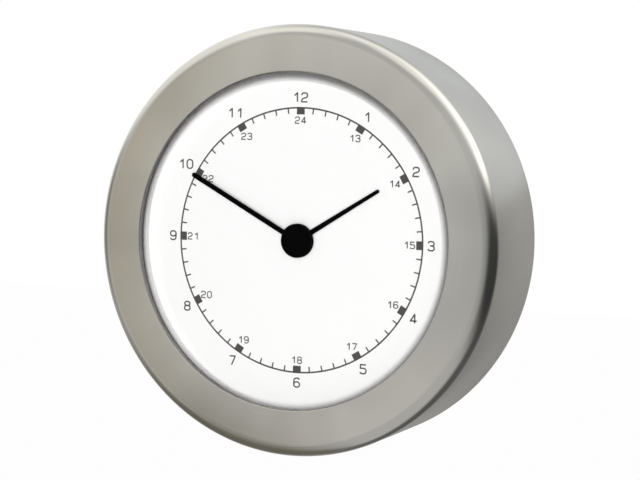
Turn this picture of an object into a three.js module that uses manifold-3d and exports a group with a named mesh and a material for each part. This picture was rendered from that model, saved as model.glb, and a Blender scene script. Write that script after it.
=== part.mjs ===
// Ship's clock: a round quartz wall clock in a drawn steel case, hung on a twist-on base plate.
// Millimetres. The clock is modelled face up, x to the right, y to twelve o'clock and z out of
// the dial, with z = 0 on the wall. The last lines stand it up, so that the dial faces -Y.

import * as THREE from "three";
import { mergeVertices } from "three/addons/utils/BufferGeometryUtils.js";
import Module from "manifold-3d";

// Case: drawn steel shell
const OPENING_DIAMETER = 86; // clear view inside the lip
const BEZEL_WIDTH = 12; // lip to outermost edge, seen from the front
const SHEET = 1; // steel thickness
const EDGE_RADIUS = 3.5; // round front edge
const LIP_RADIUS = 0.4; // tight bend of the lip that turns in round the opening
const CASE_TAPER = 0.6; // radius lost from the front edge to the rear rim
const WALL_REVEAL = 0.5; // rear rim stands this far off the wall

// Clearances
const SEAT_GAP = 0.1; // between faces that rest on each other
const RADIAL_GAP = 0.3; // between a piece and the ring it sits in
const RUNNING_GAP = 0.25; // between a turning piece and its bearing
const PRESS_GAP = 0.08; // between a piece and the arbor it is pressed on

// Glass and dial stack
const GLASS_LAP = 3.2; // glass, spacer and dial reach this far past the opening
const GLASS_THICKNESS = 1.5;
const GASKET_THICKNESS = 0.8;
const LIP_GAP = 0.4; // lip stops short of the glass
const SPACER_SETBACK = 0.5; // spacer bore is this much wider than the opening
const DIAL_THICKNESS = 0.8;

// Hands
const MINUTE_HAND_LENGTH = 34.2;
const HOUR_HAND_LENGTH = 25.9;
const HAND_ROOT_WIDTH = 1.32; // at the hub
const HOUR_TIP_WIDTH = 0.92;
const MINUTE_TIP_WIDTH = 1.26;
const HAND_THICKNESS = 0.4;
const HUB_RADIUS = 4.35;
const CAP_HEIGHT = 0.4; // crown of the minute hand's hub
const HAND_GAP = 0.45; // dial to hour hand, and hour hand to minute hand
const GLASS_CLEARANCE = 0.6; // hub to glass
const MINUTE_HAND_ANGLE = 298.5; // clockwise from twelve, at rest
const HOUR_HAND_ANGLE = 58.7;

// Carrier ring in the case
const CARRIER_WALL = 2.6;
const COLLAR_WALL = 2; // collar that centres glass, spacer and dial
const WEB_THICKNESS = 1.6; // ledge under the dial
const DIAL_LEDGE = 2.2; // width of that ledge
const RIM_RECESS = 0.7; // ring stops short of the case's rear rim

// Base plate and its bayonet
const PLATE_THICKNESS = 3;
const PLATE_CHAMFER = 0.6;
const SCREW_HOLE_DIAMETER = 4.5;
const SCREW_HEAD_DIAMETER = 9;
const SCREW_CIRCLE_DIAMETER = 66;
const BAYONET_COUNT = 3;
const BAYONET_BEARING = 30; // first lug, anticlockwise from +x
const BAYONET_REACH = 4.5; // flange width inside the carrier ring
const BAYONET_THICKNESS = 1.8; // flange and lugs
const BAYONET_LUG_ANGLE = 26;
const BAYONET_CLEAR_ANGLE = 3; // spare angle at each end of a lug
const BAYONET_STOP_ANGLE = 4;
const LUG_POST = 2.5; // radial thickness of the post under a lug
const FLANGE_GAP = 0.8; // flange to base plate

// Movement case
const BATTERY_LENGTH = 50.5;
const BATTERY_DIAMETER = 14.2;
const BATTERY_SHOULDER = 0.6;
const NUB_RADIUS = 2.75; // button at the positive end
const NUB_LENGTH = 1;
const CONTACT_ROOM = 1.55; // each end of the battery
const HOUSING_WALL = 1.2;
const HOUSING_CORNER = 4;
const CHAMBER_MARGIN = 4; // free space above the train
const REAR_ROOM = 5.3; // behind the middle plate, for the electronics
const MIDDLE_PLATE = 1;
const POST_RADIUS = 1.6;
const EAR_REACH = 3.4; // fixing ear, from the housing's side to its hole
const EAR_THICKNESS = 1.5;
const FOOT_RADIUS = 1.2; // threaded feet of the dial
const NUT_ACROSS_FLATS = 5;
const NUT_THICKNESS = 2;
const FOOT_SPARE = 0.6; // foot stands this far out of its nut

// Setting knob
const KNOB_RADIUS = 5;
const KNOB_THICKNESS = 2.7;
const KNOB_FLOOR = 0.9; // closed end of the knob's bore
const KNOB_FLUTES = 16;
const KNOB_FLUTE_DEPTH = 0.4;
const SETTING_SHAFT_RADIUS = 1.5;
const BACK_ROOM = 4.4; // air between the knob and the base plate

// Gear train, from the stepping motor to the hands
const WHEEL_THICKNESS = 0.75;
const LEVEL_GAP = 0.4; // between neighbouring wheels along the arbors
const ARBOR_RADIUS = 0.6;
const PIVOT_RADIUS = 0.4;
const PIVOT_CLEARANCE = 0.15;
const MINUTE_ARBOR_RADIUS = 1.5;
const ARBOR_TIP_RADIUS = 1;
const HOUR_TUBE_WALL = 0.65;
const MOTION_STUD_RADIUS = 0.8;
const ADDENDUM = 0.95; // tooth heights and widths, as shares of the module and the tooth pitch
const DEDENDUM = 1.3;
const TIP_SHARE = 0.11;
const ROOT_SHARE = 0.3;
const CANNON = { teeth: 8, wheel: 24, module: 0.6 };
const HOUR = { teeth: 8, wheel: 32 };
const SETTING_TEETH = 12;
const CENTRE = { teeth: 6, wheel: 48, module: 0.42 };
const THIRD = { teeth: 6, wheel: 45, module: 0.37 };
const SECONDS = { teeth: 6, wheel: 36, module: 0.43 };
const INTERMEDIATE = { teeth: 6, wheel: 30, module: 0.41 };
const MOTION_BEARING = 180; // directions from one arbor to the next, anticlockwise from +x
const SETTING_BEARING = 150;
const THIRD_BEARING = 100;
const SECONDS_BEARING = 20;
const INTERMEDIATE_BEARING = -50;
const ROTOR_BEARING = -85;

// Stepping motor and electronics
const MAGNET_RADIUS = 3;
const STATOR_GAP = 0.4; // round the magnet
const STATOR_RIM = 1.8; // iron left round that bore
const STATOR_THICKNESS = 1;
const STATOR_ARM = 3;
const COIL_RADIUS = 3;
const COIL_LENGTH = 14;
const COIL_FLANGE = 0.8;
const BOBBIN_WALL = 0.5;
const CORE_WIDTH = 2.4;
const CORE_THICKNESS = 1;
const BOARD_WIDTH = 33;
const BOARD_HEIGHT = 20;
const BOARD_THICKNESS = 1;
const BOARD_STANDOFF = 3.2;
const CRYSTAL_RADIUS = 1;
const CRYSTAL_LENGTH = 6;
const CHIP_RADIUS = 3;
const CHIP_HEIGHT = 1;
const CONTACT_THICKNESS = 0.4;
const CONTACT_WIDTH = 7;

// Facets
const CASE_SEGMENTS = 56;
const RING_SEGMENTS = 36;
const HUB_SEGMENTS = 32;
const ROUND_SEGMENTS = 12;
const PIVOT_SEGMENTS = 8;
const TIP_SEGMENTS = 8;
const CORNER_SEGMENTS = 3;
const WELD = 1e-4;

const wasm = await Module();
wasm.setup();

// Solids

function toSolid(geometry) {
  const bare = geometry.clone();
  bare.deleteAttribute("normal");
  bare.deleteAttribute("uv");
  const welded = mergeVertices(bare, WELD);
  const corners = welded.index.array;
  const triangles = [];
  for (let i = 0; i < corners.length; i += 3) {
    const [a, b, c] = [corners[i], corners[i + 1], corners[i + 2]];
    if (a !== b && b !== c && c !== a) triangles.push(a, b, c);
  }
  return new wasm.Manifold(new wasm.Mesh({
    numProp: 3,
    vertProperties: new Float32Array(welded.attributes.position.array),
    triVerts: new Uint32Array(triangles),
  }));
}

function toGeometry(solid) {
  const mesh = solid.getMesh();
  const geometry = new THREE.BufferGeometry();
  geometry.setAttribute("position", new THREE.BufferAttribute(mesh.vertProperties, 3));
  geometry.setIndex(new THREE.BufferAttribute(mesh.triVerts, 1));
  geometry.computeVertexNormals();
  return geometry;
}

function join(first, ...others) {
  return toGeometry(others.reduce((sum, other) => sum.add(toSolid(other)), toSolid(first)));
}

function cut(first, ...tools) {
  return toGeometry(tools.reduce((rest, tool) => rest.subtract(toSolid(tool)), toSolid(first)));
}

// Revolve a profile of [radius, height] points, or a Path, about the z axis.
function turned(profile, segments = ROUND_SEGMENTS) {
  const points = Array.isArray(profile) ? profile.map(([r, z]) => new THREE.Vector2(r, z)) : profile;
  return new THREE.LatheGeometry(points, segments).rotateX(Math.PI / 2);
}

function raised(shape, low, high, curveSegments = ROUND_SEGMENTS / 2) {
  const options = { depth: high - low, bevelEnabled: false, curveSegments };
  return new THREE.ExtrudeGeometry(shape, options).translate(0, 0, low);
}

function disc(radius, low, high, segments = ROUND_SEGMENTS) {
  return turned([[0, low], [radius, low], [radius, high], [0, high]], segments);
}

function ring(inner, outer, low, high, segments = RING_SEGMENTS) {
  return turned([[inner, low], [outer, low], [outer, high], [inner, high], [inner, low]], segments);
}

function box(left, right, bottom, top, low, high) {
  const geometry = new THREE.BoxGeometry(right - left, top - bottom, high - low);
  return geometry.translate((left + right) / 2, (bottom + top) / 2, (low + high) / 2);
}

// Part of a ring between two angles in degrees, anticlockwise from +x.
function ringSector(inner, outer, from, to, low, high) {
  const [start, end] = [rad(from), rad(to)];
  const shape = new THREE.Shape();
  shape.absarc(0, 0, outer, start, end, false);
  shape.absarc(0, 0, inner, end, start, true);
  shape.closePath();
  return raised(shape, low, high, CORNER_SEGMENTS);
}

function roundedRectangle(left, right, bottom, top, radius) {
  const shape = new THREE.Shape();
  shape.absarc(right - radius, top - radius, radius, 0, Math.PI / 2);
  shape.absarc(left + radius, top - radius, radius, Math.PI / 2, Math.PI);
  shape.absarc(left + radius, bottom + radius, radius, Math.PI, 1.5 * Math.PI);
  shape.absarc(right - radius, bottom + radius, radius, 1.5 * Math.PI, 2 * Math.PI);
  shape.closePath();
  return shape;
}

function circle(radius, centre = { x: 0, y: 0 }) {
  const shape = new THREE.Shape();
  shape.absarc(centre.x, centre.y, radius, 0, 2 * Math.PI);
  return shape;
}

// Straight strip of one width from one point to another, square at both ends.
function strip(from, to, width) {
  const along = new THREE.Vector2(to.x - from.x, to.y - from.y).setLength(width / 2);
  const corner = (point, end, side) =>
    new THREE.Vector2(point.x + end * along.x - side * along.y, point.y + end * along.y + side * along.x);
  return new THREE.Shape([corner(from, -1, 1), corner(from, -1, -1), corner(to, 1, -1), corner(to, 1, 1)]);
}

function rad(degrees) {
  return THREE.MathUtils.degToRad(degrees);
}

function stepFrom(point, distance, bearing) {
  return { x: point.x + distance * Math.cos(rad(bearing)), y: point.y + distance * Math.sin(rad(bearing)) };
}

// Gears

function tipRadius(teeth, module) {
  return module * (teeth / 2 + ADDENDUM);
}

// Straight-flanked teeth, the first of them centred on the angle phase.
function gearShape(teeth, module, phase = 0) {
  const tip = tipRadius(teeth, module);
  const root = module * (teeth / 2 - DEDENDUM);
  const pitch = (2 * Math.PI) / teeth;
  const flank = [[root, -ROOT_SHARE], [tip, -TIP_SHARE], [tip, TIP_SHARE], [root, ROOT_SHARE]];
  const points = [];
  for (let tooth = 0; tooth < teeth; tooth += 1) {
    for (const [radius, share] of flank) {
      const angle = phase + (tooth + share) * pitch;
      points.push(new THREE.Vector2(radius * Math.cos(angle), radius * Math.sin(angle)));
    }
  }
  return new THREE.Shape(points);
}

// Phase that puts a gap of the driven gear opposite a tooth of its driver.
function meshPhase(driverTeeth, driverPhase, drivenTeeth, bearing) {
  const share = ((rad(bearing) - driverPhase) * driverTeeth) / (2 * Math.PI);
  return rad(bearing) + Math.PI - ((2 * Math.PI) / drivenTeeth) * (0.5 - share);
}

// Plain arbor with a thinner pivot at each end.
function arbor(low, high, pivotLow, pivotHigh, radius = ARBOR_RADIUS) {
  const profile = [
    [0, pivotLow], [PIVOT_RADIUS, pivotLow], [PIVOT_RADIUS, low], [radius, low],
    [radius, high], [PIVOT_RADIUS, high], [PIVOT_RADIUS, pivotHigh], [0, pivotHigh],
  ];
  return turned(profile, PIVOT_SEGMENTS);
}

// Heights above the wall, built up from the base plate

const plateTop = PLATE_THICKNESS;
const knobBack = plateTop + BACK_ROOM;
const knobFront = knobBack + KNOB_THICKNESS;
const coverBack = knobFront + RADIAL_GAP;
const coverInside = coverBack + HOUSING_WALL;
const middleBottom = coverInside + REAR_ROOM;
const middleTop = middleBottom + MIDDLE_PLATE;
const levelPitch = WHEEL_THICKNESS + LEVEL_GAP;
const levelCount = 6;
const housingInside = middleTop + levelCount * levelPitch + LEVEL_GAP;
const housingFront = housingInside + HOUSING_WALL;
const dialBack = housingFront + SEAT_GAP;
const dialFront = dialBack + DIAL_THICKNESS;
const hourHandBottom = dialFront + HAND_GAP;
const hourHandTop = hourHandBottom + HAND_THICKNESS;
const minuteHandBottom = hourHandTop + HAND_GAP;
const minuteHandTop = minuteHandBottom + HAND_THICKNESS;
const glassBottom = minuteHandTop + CAP_HEIGHT + GLASS_CLEARANCE;
const glassTop = glassBottom + GLASS_THICKNESS;
const gasketBottom = glassTop + SEAT_GAP;
const gasketTop = gasketBottom + GASKET_THICKNESS;
const sheetUnder = gasketTop + SEAT_GAP;
const caseFront = sheetUnder + SHEET;

// Levels count from the housing's front wall: 0 hour wheel, 1 motion wheel, 2 centre wheel,
// 3 third wheel, 4 seconds wheel, 5 intermediate wheel.
const levelTop = (level) => housingInside - LEVEL_GAP - level * levelPitch;
const levelBottom = (level) => levelTop(level) - WHEEL_THICKNESS;

// Radii of the case and of what sits in it

const openingRadius = OPENING_DIAMETER / 2;
const caseRadius = openingRadius + BEZEL_WIDTH;
const stackRadius = openingRadius + GLASS_LAP;
const edgeStart = caseFront - EDGE_RADIUS;
const shellOutside = (z) => caseRadius - (CASE_TAPER * (edgeStart - z)) / (edgeStart - WALL_REVEAL);
const shellInside = (z) => shellOutside(z) - SHEET;
const carrierOutside = (z) => shellInside(z) - RADIAL_GAP;
const carrierInside = (z) => carrierOutside(z) - CARRIER_WALL;
const carrierBottom = WALL_REVEAL + RIM_RECESS;
const plateRadius = carrierInside(carrierBottom) - RADIAL_GAP;
const flangeBottom = plateTop + FLANGE_GAP;
const flangeTop = flangeBottom + BAYONET_THICKNESS;
const flangeRadius = plateRadius - BAYONET_REACH;
const lugBottom = flangeTop + RADIAL_GAP;
const lugTop = lugBottom + BAYONET_THICKNESS;
const bayonetTwist = BAYONET_LUG_ANGLE + 2 * BAYONET_CLEAR_ANGLE;
const bayonetBearings = Array.from(
  { length: BAYONET_COUNT },
  (_, i) => BAYONET_BEARING + (360 / BAYONET_COUNT) * i,
);

// Arbor positions

const ORIGIN = { x: 0, y: 0 };
const meshDistance = ({ teeth, wheel, module }) => (module * (teeth + wheel)) / 2;
const motionDistance = meshDistance(CANNON);
const hourModule = (2 * motionDistance) / (HOUR.teeth + HOUR.wheel);
const motionAt = stepFrom(ORIGIN, motionDistance, MOTION_BEARING);
const settingDistance = meshDistance({ ...CANNON, teeth: SETTING_TEETH });
const settingAt = stepFrom(motionAt, settingDistance, SETTING_BEARING);
const thirdAt = stepFrom(ORIGIN, meshDistance(CENTRE), THIRD_BEARING);
const secondsAt = stepFrom(thirdAt, meshDistance(THIRD), SECONDS_BEARING);
const intermediateAt = stepFrom(secondsAt, meshDistance(SECONDS), INTERMEDIATE_BEARING);
const rotorAt = stepFrom(intermediateAt, meshDistance(INTERMEDIATE), ROTOR_BEARING);
const intermediateTip = tipRadius(INTERMEDIATE.wheel, INTERMEDIATE.module);
const coilX = intermediateAt.x + intermediateTip + LEVEL_GAP + COIL_RADIUS;

// Movement case outline, sized by the battery along the bottom and the train above it

const batteryRadius = BATTERY_DIAMETER / 2;
const halfInside = Math.max(BATTERY_LENGTH / 2 + CONTACT_ROOM, coilX + COIL_RADIUS + RADIAL_GAP);
const halfOutside = halfInside + HOUSING_WALL;
const chamberTop = secondsAt.y + tipRadius(SECONDS.wheel, SECONDS.module) + CHAMBER_MARGIN;
const chamberBottom = -(tipRadius(CENTRE.wheel, CENTRE.module) + LEVEL_GAP);
const bayTop = chamberBottom - HOUSING_WALL;
const batteryY = bayTop - RADIAL_GAP - batteryRadius;
const bayBottom = batteryY - batteryRadius - RADIAL_GAP;
const batteryZ = housingInside - RADIAL_GAP - batteryRadius;
const footX = halfOutside + EAR_REACH;
const postInset = POST_RADIUS + HOUSING_WALL;
const posts = [
  { x: -halfInside + postInset, y: chamberTop - postInset },
  { x: halfInside - postInset, y: chamberTop - postInset },
  { x: -halfInside + postInset, y: chamberBottom + postInset },
];

// Case and front

function makeCaseShell() {
  const lipEnd = glassTop + LIP_GAP;
  const lipBend = Math.min(LIP_RADIUS, caseFront - lipEnd);
  const edgeInner = EDGE_RADIUS - SHEET;
  const right = Math.PI / 2;
  const path = new THREE.Path();
  path.moveTo(openingRadius + SHEET, lipEnd);
  path.lineTo(openingRadius + SHEET, sheetUnder);
  path.absarc(caseRadius - EDGE_RADIUS, edgeStart, edgeInner, right, 0, true);
  path.lineTo(shellInside(WALL_REVEAL), WALL_REVEAL);
  path.lineTo(shellOutside(WALL_REVEAL), WALL_REVEAL);
  path.absarc(caseRadius - EDGE_RADIUS, edgeStart, EDGE_RADIUS, 0, right, false);
  path.absarc(openingRadius + lipBend, caseFront - lipBend, lipBend, right, Math.PI, false);
  path.lineTo(openingRadius, lipEnd);
  path.closePath();
  return turned(path.getPoints(2), CASE_SEGMENTS);
}

function makeGasket() {
  return ring(openingRadius + SHEET + RADIAL_GAP, stackRadius, gasketBottom, gasketTop);
}

function makeSpacer() {
  return ring(openingRadius + SPACER_SETBACK, stackRadius, dialFront + SEAT_GAP, glassBottom - SEAT_GAP);
}

// Disc with a centre hole and the two threaded feet that hold the movement.
function makeDial() {
  const plate = ring(hourTubeRadius + RADIAL_GAP, stackRadius, dialBack, dialFront);
  const footEnd = housingFront - EAR_THICKNESS - NUT_THICKNESS - FOOT_SPARE;
  const foot = disc(FOOT_RADIUS, footEnd, dialFront - DIAL_THICKNESS / 2);
  return join(plate, foot.clone().translate(footX, 0, 0), foot.clone().translate(-footX, 0, 0));
}

function makeCarrierRing() {
  const webTop = dialBack - SEAT_GAP;
  const webBottom = webTop - WEB_THICKNESS;
  const ledgeRadius = stackRadius - DIAL_LEDGE;
  const collarInside = stackRadius + RADIAL_GAP;
  const collarOutside = collarInside + COLLAR_WALL;
  const body = turned([
    [ledgeRadius, webTop], [ledgeRadius, webBottom], [carrierInside(webBottom), webBottom],
    [carrierInside(flangeTop), flangeTop], [flangeRadius, flangeTop], [flangeRadius, flangeBottom],
    [carrierInside(flangeBottom), flangeBottom], [carrierInside(carrierBottom), carrierBottom],
    [carrierOutside(carrierBottom), carrierBottom], [carrierOutside(webTop), webTop],
    [collarOutside, webTop], [collarOutside, glassTop], [collarInside, glassTop],
    [collarInside, webTop], [ledgeRadius, webTop],
  ], RING_SEGMENTS);
  const gateRadius = carrierInside(flangeBottom);
  const gates = bayonetBearings.map((bearing) => {
    const middle = bearing - bayonetTwist;
    const half = bayonetTwist / 2;
    const inside = flangeRadius - RADIAL_GAP;
    return ringSector(inside, gateRadius, middle - half, middle + half, plateTop, lugBottom);
  });
  const stops = bayonetBearings.map((bearing) => {
    const start = bearing + BAYONET_LUG_ANGLE / 2 + BAYONET_CLEAR_ANGLE / 2;
    const [low, high] = [flangeBottom + SEAT_GAP, lugTop];
    return ringSector(flangeRadius, gateRadius + RADIAL_GAP, start, start + BAYONET_STOP_ANGLE, low, high);
  });
  return join(cut(body, ...gates), ...stops);
}

// Wall plate: the countersunk screw holes lie between the bayonet lugs.
function makeBasePlate() {
  const plate = turned([
    [0, 0], [plateRadius, 0], [plateRadius, plateTop - PLATE_CHAMFER],
    [plateRadius - PLATE_CHAMFER, plateTop], [0, plateTop],
  ], RING_SEGMENTS);
  const holeRadius = SCREW_HOLE_DIAMETER / 2;
  const headRadius = SCREW_HEAD_DIAMETER / 2;
  const spare = SEAT_GAP;
  const screwHole = turned([
    [0, -spare], [holeRadius, -spare], [holeRadius, plateTop - (headRadius - holeRadius)],
    [headRadius, plateTop], [headRadius, plateTop + spare], [0, plateTop + spare],
  ]);
  const lugs = [];
  const holes = [];
  for (const bearing of bayonetBearings) {
    const half = BAYONET_LUG_ANGLE / 2;
    const postOutside = flangeRadius - RADIAL_GAP;
    const postInside = postOutside - LUG_POST;
    const [from, to] = [bearing - half, bearing + half];
    lugs.push(ringSector(postInside, postOutside, from, to, plateTop / 2, lugTop));
    lugs.push(ringSector(postInside, plateRadius - RADIAL_GAP, from, to, lugBottom, lugTop));
    const hole = stepFrom(ORIGIN, SCREW_CIRCLE_DIAMETER / 2, bearing + 180 / BAYONET_COUNT);
    holes.push(screwHole.clone().translate(hole.x, hole.y, 0));
  }
  return cut(join(plate, ...lugs), ...holes);
}

// Hands

const hourTubeBore = MINUTE_ARBOR_RADIUS + RUNNING_GAP;
const hourTubeRadius = hourTubeBore + HOUR_TUBE_WALL;

// Stick that narrows from the hub to a round tip, pointing to twelve.
function handStick(length, tipWidth, low, high) {
  const [root, tip] = [HAND_ROOT_WIDTH / 2, tipWidth / 2];
  const start = (HUB_RADIUS + hourTubeRadius) / 2;
  const shape = new THREE.Shape();
  shape.moveTo(-root, start);
  shape.lineTo(root, start);
  shape.absarc(0, length - tip, tip, 0, Math.PI, false);
  shape.closePath();
  return raised(shape, low, high, TIP_SEGMENTS);
}

function makeHourHand() {
  const hub = ring(hourTubeRadius + PRESS_GAP, HUB_RADIUS, hourHandBottom, hourHandTop, HUB_SEGMENTS);
  return join(hub, handStick(HOUR_HAND_LENGTH, HOUR_TIP_WIDTH, hourHandBottom, hourHandTop));
}

// The hub is a closed cap over the tip of the arbor.
function makeMinuteHand() {
  const bore = ARBOR_TIP_RADIUS + PRESS_GAP;
  const crownTop = minuteHandTop + CAP_HEIGHT;
  const hub = turned([
    [0, minuteHandTop], [bore, minuteHandTop], [bore, minuteHandBottom], [HUB_RADIUS, minuteHandBottom],
    [HUB_RADIUS, minuteHandTop], [HUB_RADIUS - CAP_HEIGHT, crownTop], [0, crownTop],
  ], HUB_SEGMENTS);
  const stick = handStick(MINUTE_HAND_LENGTH, MINUTE_TIP_WIDTH, minuteHandBottom, minuteHandTop);
  return join(hub, stick);
}

// Motion work

function makeMinuteArbor() {
  const pivotBottom = middleBottom + SEAT_GAP;
  const shoulder = middleTop + RUNNING_GAP;
  const collarTop = levelBottom(2) - SEAT_GAP;
  const collarRadius = MINUTE_ARBOR_RADIUS + LEVEL_GAP * 2;
  const tipBottom = hourHandTop + HAND_GAP / 2;
  const shaft = turned([
    [0, pivotBottom], [PIVOT_RADIUS, pivotBottom], [PIVOT_RADIUS, shoulder], [ARBOR_TIP_RADIUS, shoulder],
    [ARBOR_TIP_RADIUS, collarTop - LEVEL_GAP], [collarRadius, collarTop - LEVEL_GAP],
    [collarRadius, collarTop], [MINUTE_ARBOR_RADIUS, collarTop], [MINUTE_ARBOR_RADIUS, tipBottom],
    [ARBOR_TIP_RADIUS, tipBottom], [ARBOR_TIP_RADIUS, minuteHandTop - PRESS_GAP],
    [0, minuteHandTop - PRESS_GAP],
  ]);
  return join(shaft, raised(gearShape(CANNON.teeth, CANNON.module), levelBottom(1), levelTop(1)));
}

// Three-armed washer that presses the centre wheel against the arbor's collar.
function makeClutchSpring() {
  const bore = MINUTE_ARBOR_RADIUS + PRESS_GAP;
  const low = levelTop(2) + SEAT_GAP;
  const high = levelBottom(1) - SEAT_GAP;
  const hub = ring(bore, bore + LEVEL_GAP * 2, low, high, ROUND_SEGMENTS);
  const arms = [0, 120, 240].map((bearing) => {
    const from = stepFrom(ORIGIN, bore + LEVEL_GAP * 1.5, bearing);
    const to = stepFrom(ORIGIN, tipRadius(CENTRE.wheel, CENTRE.module) / 2, bearing);
    return raised(strip(from, to, LEVEL_GAP * 2), low, high);
  });
  return join(hub, ...arms);
}

const motionPhase = meshPhase(CANNON.teeth, 0, CANNON.wheel, MOTION_BEARING);

function makeHourWheel() {
  const phase = meshPhase(HOUR.teeth, 0, HOUR.wheel, MOTION_BEARING + 180);
  const shape = gearShape(HOUR.wheel, hourModule, phase);
  shape.holes.push(circle(hourTubeBore));
  const tube = ring(hourTubeBore, hourTubeRadius, levelBottom(0), hourHandTop, ROUND_SEGMENTS);
  return join(raised(shape, levelBottom(0), levelTop(0)), tube);
}

function makeMotionWheel() {
  const wheel = gearShape(CANNON.wheel, CANNON.module, motionPhase);
  const pinion = raised(gearShape(HOUR.teeth, hourModule), levelBottom(0) - LEVEL_GAP, levelTop(0));
  const bore = disc(MOTION_STUD_RADIUS + RUNNING_GAP / 2, levelBottom(2), housingInside, PIVOT_SEGMENTS);
  return cut(join(raised(wheel, levelBottom(1), levelTop(1)), pinion), bore);
}

const knobBoreEnd = knobBack + KNOB_FLOOR;

// Gear and shaft that run from the motion wheel out of the back of the movement.
function makeSettingArbor() {
  const phase = meshPhase(CANNON.wheel, motionPhase, SETTING_TEETH, SETTING_BEARING);
  const gear = raised(gearShape(SETTING_TEETH, CANNON.module, phase), levelBottom(1), levelTop(1));
  const pivotEnd = housingInside + HOUSING_WALL / 2;
  const shoulder = housingInside - RUNNING_GAP;
  const shaft = turned([
    [0, knobBoreEnd + SEAT_GAP], [ARBOR_TIP_RADIUS, knobBoreEnd + SEAT_GAP],
    [ARBOR_TIP_RADIUS, knobFront + PRESS_GAP], [SETTING_SHAFT_RADIUS, knobFront + PRESS_GAP],
    [SETTING_SHAFT_RADIUS, shoulder], [PIVOT_RADIUS, shoulder], [PIVOT_RADIUS, pivotEnd], [0, pivotEnd],
  ]);
  return join(shaft, gear);
}

// Fluted knob, pressed on the end of the setting shaft.
function makeSettingKnob() {
  const points = [];
  for (let i = 0; i < 2 * KNOB_FLUTES; i += 1) {
    const angle = (Math.PI * i) / KNOB_FLUTES;
    const radius = KNOB_RADIUS - (i % 2) * KNOB_FLUTE_DEPTH;
    points.push(new THREE.Vector2(radius * Math.cos(angle), radius * Math.sin(angle)));
  }
  const bore = disc(ARBOR_TIP_RADIUS + PRESS_GAP, knobBoreEnd, knobFront + SEAT_GAP);
  return cut(raised(new THREE.Shape(points), knobBack, knobFront), bore);
}

// Going train

// A wheel at one level and a pinion one level nearer the dial, on a pivoted arbor.
function makeTrainWheel(wheelTeeth, wheelModule, wheelLevel, wheelPhase, pinion) {
  const shaft = arbor(
    middleTop + RUNNING_GAP, housingInside - RUNNING_GAP,
    middleBottom + SEAT_GAP, housingInside + HOUSING_WALL / 2,
  );
  const outline = gearShape(wheelTeeth, wheelModule, wheelPhase);
  const wheel = raised(outline, levelBottom(wheelLevel), levelTop(wheelLevel));
  const leaves = raised(
    gearShape(pinion.teeth, pinion.module),
    levelBottom(wheelLevel - 1) - LEVEL_GAP, levelTop(wheelLevel - 1),
  );
  return join(shaft, wheel, leaves);
}

function makeCentreWheel() {
  const phase = meshPhase(CENTRE.teeth, 0, CENTRE.wheel, THIRD_BEARING + 180);
  const shape = gearShape(CENTRE.wheel, CENTRE.module, phase);
  shape.holes.push(circle(MINUTE_ARBOR_RADIUS + RUNNING_GAP));
  return raised(shape, levelBottom(2), levelTop(2));
}

function makeThirdWheel() {
  const phase = meshPhase(THIRD.teeth, 0, THIRD.wheel, SECONDS_BEARING + 180);
  return makeTrainWheel(THIRD.wheel, THIRD.module, 3, phase, CENTRE);
}

function makeSecondsWheel() {
  const phase = meshPhase(SECONDS.teeth, 0, SECONDS.wheel, INTERMEDIATE_BEARING + 180);
  return makeTrainWheel(SECONDS.wheel, SECONDS.module, 4, phase, THIRD);
}

function makeIntermediateWheel() {
  const phase = meshPhase(INTERMEDIATE.teeth, 0, INTERMEDIATE.wheel, ROTOR_BEARING + 180);
  return makeTrainWheel(INTERMEDIATE.wheel, INTERMEDIATE.module, 5, phase, SECONDS);
}

// Stepping motor

const magnetTop = levelTop(3);
const magnetBottom = levelBottom(4);
const stator = { top: (magnetTop + magnetBottom + STATOR_THICKNESS) / 2 };
stator.bottom = stator.top - STATOR_THICKNESS;
const coreBottom = stator.top + SEAT_GAP;
const coreTop = coreBottom + CORE_THICKNESS;
const coilZ = (coreBottom + coreTop) / 2;
const armOffset = COIL_LENGTH / 2 + RADIAL_GAP + STATOR_ARM / 2;

function makeRotorArbor() {
  const shaft = arbor(
    middleTop + RUNNING_GAP, housingInside - RUNNING_GAP,
    middleBottom + SEAT_GAP, housingInside + HOUSING_WALL / 2,
  );
  const pinion = gearShape(INTERMEDIATE.teeth, INTERMEDIATE.module);
  return join(shaft, raised(pinion, levelBottom(5), levelTop(5) + LEVEL_GAP / 2));
}

function makeRotorMagnet() {
  return ring(ARBOR_RADIUS + PRESS_GAP, MAGNET_RADIUS, magnetBottom, magnetTop, ROUND_SEGMENTS);
}

// Iron plate: a ring round the magnet and two arms that reach the ends of the coil's core.
function makeStator() {
  const bore = MAGNET_RADIUS + STATOR_GAP;
  const plate = disc(bore + STATOR_RIM, stator.bottom, stator.top).translate(rotorAt.x, rotorAt.y, 0);
  const arms = [1, -1].flatMap((side) => {
    const bend = { x: rotorAt.x + bore + STATOR_RIM, y: rotorAt.y + side * armOffset };
    const end = { x: coilX, y: bend.y };
    return [strip(rotorAt, bend, STATOR_ARM), strip(bend, end, STATOR_ARM)];
  });
  const solids = arms.map((shape) => raised(shape, stator.bottom, stator.top));
  const hole = disc(bore, stator.bottom - SEAT_GAP, stator.top + SEAT_GAP);
  return cut(join(plate, ...solids), hole.translate(rotorAt.x, rotorAt.y, 0));
}

function makeCoilCore() {
  const reach = armOffset + STATOR_ARM / 2;
  const half = CORE_WIDTH / 2;
  return box(coilX - half, coilX + half, rotorAt.y - reach, rotorAt.y + reach, coreBottom, coreTop);
}

const bobbinTube = Math.hypot(CORE_WIDTH / 2, CORE_THICKNESS / 2) + SEAT_GAP + BOBBIN_WALL;

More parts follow.
